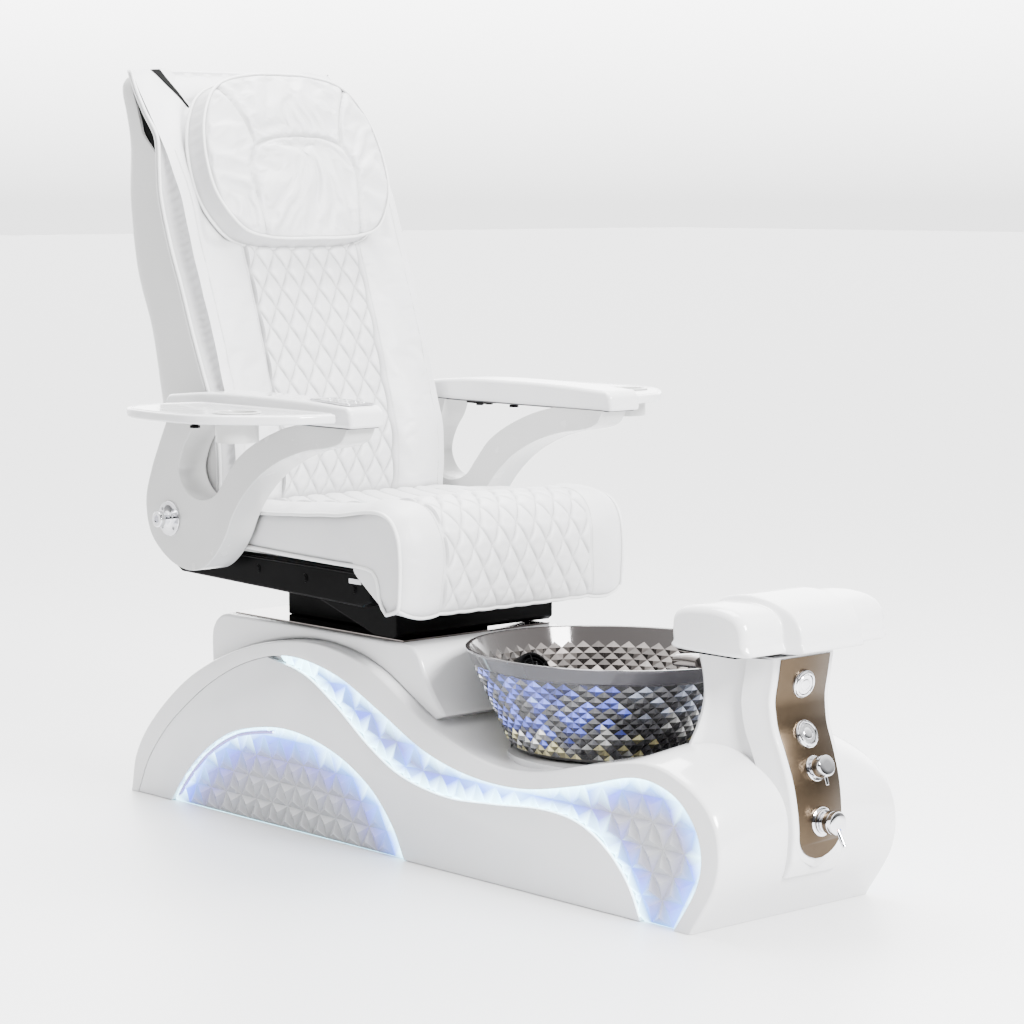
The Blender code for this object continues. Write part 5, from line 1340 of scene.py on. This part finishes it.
def make_bowl():
    bm = bmesh.new()
    outer = faceted_wall(bm, OUTER_LOW, OUTER_HIGH, 0.0, 0.0042)
    foot = [bowl_ring(bm, BOWL_BOTTOM + 0.004, -0.004), bowl_ring(bm, BOWL_BOTTOM, -0.014)]
    bridge(bm, foot[0], outer[0])
    bridge(bm, foot[1], foot[0])
    lips = [outer[-1]] + [bowl_ring(bm, z, grow) for z, grow in (
        (INNER_HIGH, 0.0026), (BOWL_TOP - 0.004, 0.0026), (BOWL_TOP - 0.001, 0.0018), (BOWL_TOP, 0.0),
        (BOWL_TOP, -0.0040), (BOWL_TOP - 0.0015, -BOWL_SKIN), (0.374, -BOWL_SKIN))]
    inner = faceted_wall(bm, INNER_HIGH, INNER_LOW, -BOWL_SKIN, -0.0036)
    bottom = [bowl_ring(bm, z, grow) for z, grow in ((BOWL_FLOOR + 0.001, -0.016), (BOWL_FLOOR, -0.026),
                                                     (BOWL_FLOOR, -0.130))]
    for loops in (lips + inner[:1], inner[-1:] + bottom):
        for a, b in zip(loops, loops[1:]):
            bridge(bm, a, b)
    bm.faces.new(bottom[-1])
    bm.faces.new(foot[1])
    bowl = finish_piece("foot_bowl_faceted", bm, BOWL, "base", ["foot_bowl"], 4.0)

    mesh = bowl.data
    tone = mesh.color_attributes.new("tone", "FLOAT_COLOR", "CORNER")
    for poly in mesh.polygons:
        c = poly.center - Vector((0, SHIFT, 0))
        a, b, y = bowl_oval(c.z)
        outside = math.hypot(c.x / a, (c.y - y) / b) > 0.993
        poly.use_smooth = c.z > OUTER_HIGH
        if c.z > OUTER_HIGH:
            colour = BAND_OUT if outside else BAND_IN
        elif outside:
            key = diamond_key(mesh, poly, OUTER_LOW, OUTER_HIGH)
            colour = outer_tone(poly, key) if key else PLAIN_OUT
        else:
            key = diamond_key(mesh, poly, INNER_HIGH, INNER_LOW) if c.z > BOWL_FLOOR + 0.004 else None
            colour = inner_tone(key) if key else PLAIN_IN
        for loop in poly.loop_indices:
            tone.data[loop].color = (*colour, 1)
    drain = [(0.0165, -0.006), (0.0165, 0.0004), (0.0290, 0.0006), (0.0288, 0.0020), (0.0270, 0.0032),
             (0.0180, 0.0036), (0.0160, 0.0026), (0.0120, 0.0026), (0.0100, 0.0046), (0.0040, 0.0052)]
    turned("drain_cover", drain, CHROME, "base", (0, BOWL_LOW[2], 0), (0, 0, 1), ["drain_strainer"], 48, 24.0,
           BOWL_FLOOR)


# ---------------------------------------------------------------- jet, spout and footrest
def make_jet():
    joint = JOINTS["jet_spin"]
    at = Vector(joint["pos_m"]) - Vector((0, SHIFT, 0))
    axis = Vector(joint["axis"])
    housing = [(0.0140, 0.0020), (0.0140, 0.0090), (0.0385, 0.0090), (0.0400, 0.0105), (0.0400, 0.0275),
               (0.0388, 0.0288), (0.0360, 0.0290), (0.0348, 0.0280), (0.0335, 0.0130), (0.0060, 0.0129),
               (0.0040, 0.0129)]
    turned("jet_cup", housing, BLACK, "base", at, axis, ["jet_housing"], 64, 28.0)
    hub = [(0.0080, 0.0140), (0.0080, 0.0240), (0.0070, 0.0262), (0.0045, 0.0272), (0.0015, 0.0275)]
    turned("jet_hub", hub, RUBBER, "impeller", at, axis, ["jet_impeller"], 40, 28.0)
    side = Vector((1, 0, 0))
    lift = axis.cross(side)

    def spoke(turn, reach=1.0):
        return side * (reach * math.cos(turn)) + lift * (reach * math.sin(turn))

    bm = bmesh.new()
    for k in range(4):
        angle = k * math.pi / 2 + 0.3
        rings = []
        for n in range(7):
            reach = spoke(angle + 0.10 * n)
            across = axis.cross(reach)
            centre = at + axis * 0.0190 + reach * (0.006 + 0.0036 * n)
            tilt = axis * 0.0040 + across * 0.0022
            thin = across * 0.0009 - axis * 0.0004
            rings.append([bm.verts.new(centre + s * tilt + t * thin) for s, t in ((-1, -1), (1, -1), (1, 1), (-1, 1))])
        skin(bm, rings, True)
    finish_piece("jet_blades", bm, RUBBER, "impeller")
    grille = bmesh.new()
    for radius in (0.0130, 0.0215, 0.0290):
        tube_bm([at + axis * 0.0286 + spoke(t, radius) for t in turns(48)], 0.0011, 8, grille, True)
    for k in range(6):
        reach = spoke(2 * math.pi * (k + 0.5) / 6)
        tube_bm([at + axis * 0.0290 + reach * r for r in (0.0125, 0.022, 0.0350)], 0.0013, 8, grille)
    finish_piece("jet_grille", grille, BLACK, "base", (), 50.0)


def make_spout():
    x, y, z = -0.094, 0.0835, 0.420
    outer, inner = [], []
    for k in range(13):
        t = k / 12
        wide, tall = 0.022 - 0.003 * t, 0.0100 + 0.0012 * math.sin(math.pi * t)
        yy, zz = y + 0.056 * t, z - 0.002 - 0.0030 * t * t
        outer.append([Vector((x + wide * math.copysign(abs(math.cos(a)) ** 0.6, math.cos(a)), yy,
                              zz + tall * math.copysign(abs(math.sin(a)) ** 0.8, math.sin(a))))
                      for a in turns(32)])
    tip = outer[-1]
    middle = sum(tip, Vector()) / len(tip)
    for shrink, back in ((0.80, 0.0), (0.78, 0.022), (0.5, 0.024)):
        inner.append([middle + (p - middle) * shrink - Vector((0, back, 0)) for p in tip])
    loft("spout_body", outer + inner, MIRROR, "base", ["fill_spout"], 35.0)


def footrest_section(x):
    """Side outline (Y, Z) of the cap at a distance from the centre; the middle ridge stands higher and further out."""
    low = 0.4477
    side = [(-0.070, low), (0.080, low), (0.088, 0.462), (0.089, 0.490), (0.083, 0.508), (0.062, 0.5190),
            (0.030, 0.5235), (-0.010, 0.5245), (-0.045, 0.5195), (-0.066, 0.509), (-0.076, 0.492), (-0.078, 0.468)]
    ridge = [(-0.099, 0.4485), (0.070, low), (0.080, 0.462), (0.085, 0.490), (0.082, 0.512), (0.062, 0.5250),
             (0.030, 0.5320), (-0.010, 0.5335), (-0.052, 0.5270), (-0.086, 0.5130), (-0.104, 0.4930), (-0.1095, 0.468)]
    near = ease((abs(x) - 0.0700) / 0.0110)
    groove = math.exp(-((abs(x) - 0.0800) / 0.0035) ** 2)
    points = [Vector(a).lerp(Vector(b), near) for a, b in zip(ridge, side)]
    middle = Vector((0.0, 0.478))
    points = [p + (middle - p).normalized() * (0.0022 * groove if n > 1 else 0) for n, p in enumerate(points)]
    ring = smooth([points[-1]] + points + points[:2], 6)[6:-7]
    end = max(0.0, abs(x) - (0.170 - 0.017)) / 0.017
    inset = 0.017 * (1 - math.sqrt(max(0.0, 1 - end * end)))
    out = []
    for p in ring:
        pull = p - middle
        q = p - Vector((pull.x / 0.085, pull.y / 0.045)) * inset * 0.9
        out.append(Vector((q.x, max(q.y, low))))
    return out


def make_footrest():
    inner = [0.0, 0.012, 0.024, 0.036, 0.048, 0.058, 0.064, 0.068]
    step = [0.0685 + 0.0014 * k for k in range(1, 14)]
    outer = [0.094, 0.106, 0.120, 0.134, 0.146, 0.153]
    ends = [0.153 + 0.017 * math.sin(a) for a in (0.25, 0.5, 0.75, 1.0, 1.2, 1.38, 1.5)]
    half = inner + step + outer + ends
    loft("footrest_cap_moulding", [[Vector((x, p.x, p.y)) for p in footrest_section(x)] for x in both_sides(half)],
         WHITE, "footrest", ["footrest_cap"], 60.0)
    bolts = bmesh.new()
    for x in (-0.118, 0.118):
        for y in (-0.018, 0.062):
            add_bar(bolts, (x, y, 0.4395), (x, y, 0.4420), 0.0050, 18, 0.0044)
    finish_piece("footrest_slide_bolts", bolts, STEEL, "footrest")


def add_bar(bm, start, end, radius, count=24, tip=None):
    bar_mesh = bpy.data.meshes.new("step")
    part = bar_bm(start, end, radius, count, tip)
    part.to_mesh(bar_mesh)
    part.free()
    bm.from_mesh(bar_mesh)
    bpy.data.meshes.remove(bar_mesh)
    return bm


# ---------------------------------------------------------------- seat frame details
def make_frame_details():
    bolts = bmesh.new()
    for side in (-1, 1):
        for y, z in ((0.800, 0.480), (0.940, 0.486), (1.080, 0.490), (1.220, 0.494), (1.320, 0.498)):
            add_bar(bolts, (side * 0.2500, y, z), (side * 0.2524, y, z), 0.0060, 6, 0.0056)
            add_bar(bolts, (side * 0.2500, y, z), (side * 0.2510, y, z), 0.0084, 28, 0.0080)
    finish_piece("seat_frame_bolts", bolts, BLACK, "seat")
    rim = bmesh.new()
    for side in (-1, 1):
        tube_bm([(side * 0.2500, 0.760, 0.5085), (side * 0.2500, 1.000, 0.5105), (side * 0.2500, 1.340, 0.5120)],
                0.0022, 10, rim)
    finish_piece("seat_frame_lip", rim, BLACK, "seat", (), 60.0)
    plate = block("seat_side_plate", (-0.2518, 0.778, 0.4895), (-0.2500, 0.812, 0.4985), PLATE_TAG, "seat", 0.0006)
    plate.data.name = "blank_plate"


# ---------------------------------------------------------------- arms
ARM_OUT, ARM_IN, PAD_OUT, PAD_IN, PAD_LOW = 0.333, 0.270, 0.345, 0.2685, 0.775
ARM_EDGE = [(1.238, 0.7745), (1.269, 0.720), (1.299, 0.662), (1.317, 0.604), (1.303, 0.545), (1.257, 0.505),
            (1.203, 0.486), (1.150, 0.488), (1.108, 0.511), (1.072, 0.550), (1.045, 0.596), (1.010, 0.637),
            (0.960, 0.676), (0.900, 0.706), (0.830, 0.727), (0.765, 0.737), (0.728, 0.750), (0.710, 0.7745)]
ARM_NOTCH = [(0.846, 0.7745), (0.905, 0.760), (0.975, 0.733), (1.030, 0.701), (1.068, 0.662), (1.100, 0.629),
             (1.146, 0.617), (1.190, 0.632), (1.210, 0.668), (1.197, 0.708), (1.172, 0.742), (1.158, 0.7745)]
PAD_EDGE = [(1.232, 0.775), (1.236, 0.796), (1.226, 0.808), (1.100, 0.818), (0.950, 0.8195), (0.820, 0.8175),
            (0.702, 0.8120), (0.690, 0.804), (0.686, 0.775)]
TRAY_PIN, TRAY_TOP, TRAY_THICK, CUP_AT, CUP_R = (0.385, 1.085), 0.800, 0.016, (0.465, 0.850), 0.0375
TRAY_EDGE = [(0.352, 0.730), (0.356, 0.716), (0.370, 0.711), (0.440, 0.733), (0.505, 0.795), (0.545, 0.860),
             (0.556, 0.935), (0.553, 1.007), (0.537, 1.075), (0.505, 1.115), (0.454, 1.132), (0.400, 1.122),
             (0.370, 1.115), (0.355, 1.102), (0.351, 1.085)]


def make_arm(side_name, side):
    body = "arm_" + side_name
    # the arm shell's darker white carries painted shade
    shell = prism("arm_moulding_" + side_name, smooth(ARM_EDGE, 8) + smooth(ARM_NOTCH, 8), side * ARM_IN,
                  side * ARM_OUT, ARM_WHITE_SHADED, body, ["arm_shell_" + side_name])
    start, end = Vector((side * 0.260, *PIVOT)), Vector((side * 0.3020, *PIVOT))
    cut(shell, bar("arm_bore_" + side_name, start, end, 0.0124, None, body))
    baked(shell, 42.0)
    rounded(shell, 0.0095, 5, 50.0)

    pad_line = PAD_EDGE[:2] + smooth(PAD_EDGE[2:7], 6) + PAD_EDGE[7:]
    pad = prism("arm_pad_top_" + side_name, pad_line, side * PAD_IN, side * PAD_OUT, WHITE, body,
                ["arm_pad_" + side_name])
    rounded(pad, 0.0070, 5, 40.0)
    seam = [(side * (PAD_OUT - 0.006), 1.230), (side * (PAD_OUT - 0.006), 0.700), (side * (PAD_IN + 0.006), 0.700),
            (side * (PAD_IN + 0.006), 1.230)]
    tube("arm_pad_seam_" + side_name, [(x, y, 0.7746) for x, y in seam], 0.0016, RUBBER, body, (), 8, True)

    hub = [(0.0312, 0.0004), (0.0325, 0.0012), (0.0325, 0.0032), (0.0316, 0.0042), (0.0168, 0.0046), (0.0136, 0.0056),
           (0.0118, 0.0080), (0.0112, 0.0130), (0.0122, 0.0170), (0.0146, 0.0196), (0.0151, 0.0206), (0.0151, 0.0282),
           (0.0146, 0.0294), (0.0132, 0.0302)]
    cap = turned("hub_cap_" + side_name, hub, CHROME, body, (0, *PIVOT), (side, 0, 0), ["arm_hub_" + side_name], 64,
                 26.0, ARM_OUT)
    tip = ARM_OUT + 0.0310
    cut(cap, bar("socket_" + side_name, (side * (tip - 0.010), *PIVOT), (side * tip, *PIVOT), 0.0080, None, body,
                 count=6))
    screws = bmesh.new()
    for k in range(4):
        angle = math.pi / 4 + k * math.pi / 2
        y, z = PIVOT[0] + 0.0240 * math.cos(angle), PIVOT[1] + 0.0240 * math.sin(angle)
        cut(cap, bar("screw_hole_%s_%d" % (side_name, k), (side * (ARM_OUT + 0.0022), y, z),
                     (side * (ARM_OUT + 0.0100), y, z), 0.0034, None, body))
        add_bar(screws, (side * (ARM_OUT + 0.0016), y, z), (side * (ARM_OUT + 0.0034), y, z), 0.0030, 20, 0.0026)
    baked(cap, 26.0)
    finish_piece("hub_screws_" + side_name, screws, STEEL, body)

    x, y = side * TRAY_PIN[0], TRAY_PIN[1]
    z = PAD_LOW - 0.0004
    gusset = [(y - 0.028, z), (y + 0.028, z), (y + 0.028, z - 0.006), (y + 0.012, z - 0.0064),
              (y - 0.012, z - 0.0064), (y - 0.028, z - 0.006)]
    support = prism("tray_bracket_" + side_name, gusset, side * 0.285, side * 0.405, BLACK, body,
                    ["tray_support_" + side_name])
    cut(support, bar("bracket_bore_" + side_name, (x, y, 0.700), (x, y, 0.800), 0.0064, None, body))
    baked(support, 35.0)
    rounded(support, 0.0009, 2, 50.0)
    bolts = bmesh.new()
    for at in (0.3200, 0.2960):
        add_bar(bolts, (side * at, y, z - 0.0064), (side * at, y, z - 0.0100), 0.0075, 6, 0.0072)
    finish_piece("tray_bracket_bolts_" + side_name, bolts, BLACK, body)


def make_control_pad():
    """Silver-edged pad with a dark glass face and touch keys, set into the right arm's pad."""
    low, rear, slope = 0.8185, 0.815, math.tan(math.radians(2.7))

    def slab(name, x0, y0, x1, y1, z0, z1, mat, edge, replaces=()):
        bm = box_bm((x0, y0, z0), (x1, y1, z1))
        upright = [e for e in bm.edges if abs(e.verts[0].co.z - e.verts[1].co.z) > 1e-5]
        bmesh.ops.bevel(bm, geom=upright, offset=0.0045, segments=5, profile=0.5, affect="EDGES")
        for v in bm.verts:
            v.co.z += (v.co.y - rear) * slope
        rounded(finish_piece(name, bm, mat, "arm_right", replaces), edge, 3, 50.0)

    slab("control_pad_frame", -0.337, 0.703, -0.2765, rear, low, low + 0.0026, CHROME, 0.0007, ["control_pad"])
    slab("control_pad_glass", -0.3348, 0.7052, -0.2787, 0.8128, low + 0.0012, low + 0.0030, DARK_GLASS, 0.0003)
    keys = bmesh.new()
    for row in range(4):
        for col in range(3):
            x, y = -0.3245 + 0.0178 * col, 0.722 + 0.0245 * row
            z = low + 0.0030 + (y - rear) * slope
            add_bar(keys, (x, y, z - 0.0004), (x, y, z + 0.0003), 0.0048, 28, 0.0046)
    finish_piece("control_pad_keys", keys, SILVER_INK, "arm_right")


def make_tray(side_name, side):
    body = "tray_" + side_name
    outline = [Vector((side * p.x, p.y)) for p in smooth(TRAY_EDGE, 8)]
    low = TRAY_TOP - TRAY_THICK
    tray = prism("tray_top_" + side_name, outline, low, TRAY_TOP, WHITE, body, ["tray_" + side_name], "top")
    x, y = side * CUP_AT[0], CUP_AT[1]
    cut(tray, bar("cup_bore_" + side_name, (x, y, low - 0.01), (x, y, TRAY_TOP + 0.01), CUP_R + 0.0010, None, body,
                  count=96))
    baked(tray, 40.0)
    rounded(tray, 0.0038, 4, 50.0)
    middle = sum(outline, Vector((0, 0))) / len(outline)
    lip = [p + (middle - p).normalized() * 0.0085 for p in outline]
    tube("tray_lip_" + side_name, [(p.x, p.y, TRAY_TOP - 0.0004) for p in lip], 0.0016, WHITE, body, (), 10, True)
    well = [(-0.0006, -0.0500), (0, -0.0488), (0, 0.0004), (0.0042, 0.0006), (0.0046, 0.0014), (0.0036, 0.0026),
            (-0.0002, 0.0029), (-0.0026, 0.0022), (-0.0032, 0), (-0.0032, -0.0440), (-0.0050, -0.0470),
            (-0.0090, -0.0478)]
    turned("cup_insert_" + side_name, [(CUP_R + r, h) for r, h in well], CUP, body, (x, y, 0), (0, 0, 1),
           ["cup_holder_" + side_name], 96, 30.0, TRAY_TOP)

    px, py = side * TRAY_PIN[0], TRAY_PIN[1]
    top = low - 0.0004
    strap = [(px + side * 0.018, 0.830), (px + side * 0.018, py + 0.010), (px + side * 0.010, py + 0.018),
             (px - side * 0.008, py + 0.018), (px - side * 0.014, py + 0.012), (px - side * 0.014, 0.830)]
    plate = prism("tray_strap_" + side_name, strap, top - 0.0050, top, BLACK, body, ["tray_plate_" + side_name], "top")
    rounded(plate, 0.0009, 2, 50.0)
    block("tray_wing_" + side_name, (side * 0.380, 0.835, top - 0.0048), (side * 0.4245, 0.870, top - 0.0004), BLACK,
          body, 0.0009)
    pins = bmesh.new()
    add_bar(pins, (px, py, 0.7600), (px, py, top - 0.001), 0.0060, 32)
    add_bar(pins, (px, py, 0.7562), (px, py, 0.7612), 0.0095, 6, 0.0092)
    finish_piece("tray_swivel_pin_" + side_name, pins, BLACK, body)
    screws = bmesh.new()
    for at in (0.850, 0.930, 1.010):
        add_bar(screws, (px + side * 0.002, at, top - 0.0050), (px + side * 0.002, at, top - 0.0068), 0.0044, 20,
                0.0038)
    finish_piece("tray_strap_screws_" + side_name, screws, STEEL, body)


# ---------------------------------------------------------------- the pieces, and the CAD's own parts
make_back_shell()
make_gap_lining()
make_top_flap()
make_base()
for side_name, side in SIDES.items():
    make_lights(side_name, side)
make_plinth()
make_tower()
make_control_plate()
make_controls()
make_bowl()
make_jet()
make_spout()
make_footrest()
make_frame_details()
for side_name, side in SIDES.items():
    make_arm(side_name, side)
    make_tray(side_name, side)
make_control_pad()

CAD_LOOKS = {"base_pan": STEEL, "power_supply": STEEL, "plinth_plate": MIRROR, "lift_column": BLACK,
             "slide_rails": STEEL, "footrest_bracket": BLACK, "footrest_slide": BLACK, "drain_hose": RUBBER,
             "seat_frame": BLACK, "pivot_shaft": STEEL, "recline_gearmotor": STEEL, "back_frame": BLACK,
             "massage_carriage": STEEL, "massage_rollers": RUBBER}
for name, mat in CAD_LOOKS.items():
    node = frame["nodes"][name]
    node.data.materials.clear()
    node.data.materials.append(mat)
    edge = node.modifiers.new("soft_edges", "BEVEL")
    edge.width, edge.segments, edge.limit_method, edge.angle_limit = 0.0012, 2, "ANGLE", math.radians(50)

CUTTERS = [obj for obj in bpy.data.objects
           if obj.type == "MESH" and obj.hide_render and obj.name not in frame["nodes"]]
for obj in list(bpy.data.objects):
    if any(m.type == "BOOLEAN" for m in obj.modifiers):
        baked(obj, 40.0)
for obj in CUTTERS:
    bpy.data.objects.remove(obj, do_unlink=True)

# ---------------------------------------------------------------- room, light and camera
FLOOR_HALF, FLOOR_DROP = 60.0, 0.0005
bm = bmesh.new()
bmesh.ops.create_grid(bm, x_segments=1, y_segments=1, size=FLOOR_HALF)
floor_mesh = bpy.data.meshes.new("floor")
bm.to_mesh(floor_mesh)
bm.free()
FLOOR = bpy.data.objects.new("floor", floor_mesh)
bpy.context.scene.collection.objects.link(FLOOR)
FLOOR.location = (0, 0, -FLOOR_DROP)
floor_mat, tree, shader = new_material("floor_white")
feed(shader, Base_Color=(0.74, 0.74, 0.744, 1), Roughness=0.42)
floor_mesh.materials.append(floor_mat)

world = bpy.data.worlds.new("studio")
world.use_nodes = True
tree = world.node_tree
direction = add(tree, "ShaderNodeTexCoord").outputs["Generated"]


def toward(axis, low, high, start, end):
    """World brightness that grows from low to high towards one direction."""
    facing = tree.nodes.new("ShaderNodeVectorMath")
    facing.operation = "DOT_PRODUCT"
    facing.inputs[1].default_value = axis
    tree.links.new(direction, facing.inputs[0])
    value = ranged(tree, facing.outputs["Value"], low, high, start, end)
    value.node.interpolation_type = "SMOOTHSTEP"
    return value


def combined(operation, a, b):
    node = tree.nodes.new("ShaderNodeMath")
    node.operation = operation
    tree.links.new(a, node.inputs[0])
    tree.links.new(b, node.inputs[1])
    return node.outputs["Value"]


height = add(tree, "ShaderNodeSeparateXYZ", Vector=direction).outputs["Z"]
backdrop = combined("MULTIPLY", toward((0.666, 0.746, 0.0), 0.0, 6.2, 0.55, 0.93),
                    ranged(tree, height, 0.20, 1.0, -0.005, 0.085))
feed(tree.nodes["Background"], Color=(1.0, 1.0, 1.0, 1),
     Strength=combined("ADD", toward((0.30, 0.33, 0.90), 0.05, 3.6, -0.10, 1.0), backdrop))
bpy.context.scene.world = world


def area_light(name, at, target, size, power):
    lamp = bpy.data.lights.new(name, "AREA")
    lamp.shape, lamp.size, lamp.size_y = "RECTANGLE", size[0], size[1]
    lamp.energy = power
    holder = bpy.data.objects.new(name, lamp)
    bpy.context.scene.collection.objects.link(holder)
    holder.location = at
    holder.rotation_euler = (Vector(target) - Vector(at)).to_track_quat("-Z", "Y").to_euler()


area_light("key_light", (-0.2, -4.2, 2.9), (0, 0, 0.6), (1.3, 1.3), 820)
area_light("side_light", (-3.6, -1.2, 2.2), (0, 0, 0.6), (1.4, 1.8), 20)
area_light("top_light", (0.2, 0.6, 3.4), (0, 0, 0.5), (2.0, 1.8), 260)

LENS_MM, SENSOR_MM, CAMERA_AT = 105.47, 36.0, (-3.546, -4.0175, 1.187)
HEADING, DROP = math.radians(41.76), math.radians(6.18)
look = Vector((math.sin(HEADING) * math.cos(DROP), math.cos(HEADING) * math.cos(DROP), -math.sin(DROP)))
right = Vector((math.cos(HEADING), -math.sin(HEADING), 0))
up = right.cross(look)
camera_data = bpy.data.cameras.new("camera")
camera_data.lens, camera_data.sensor_width = LENS_MM, SENSOR_MM
camera = bpy.data.objects.new("camera", camera_data)
bpy.context.scene.collection.objects.link(camera)
turn = Matrix((right, up, -look)).transposed().to_4x4()
camera.matrix_world = Matrix.Translation(CAMERA_AT) @ turn
bpy.context.scene.camera = camera
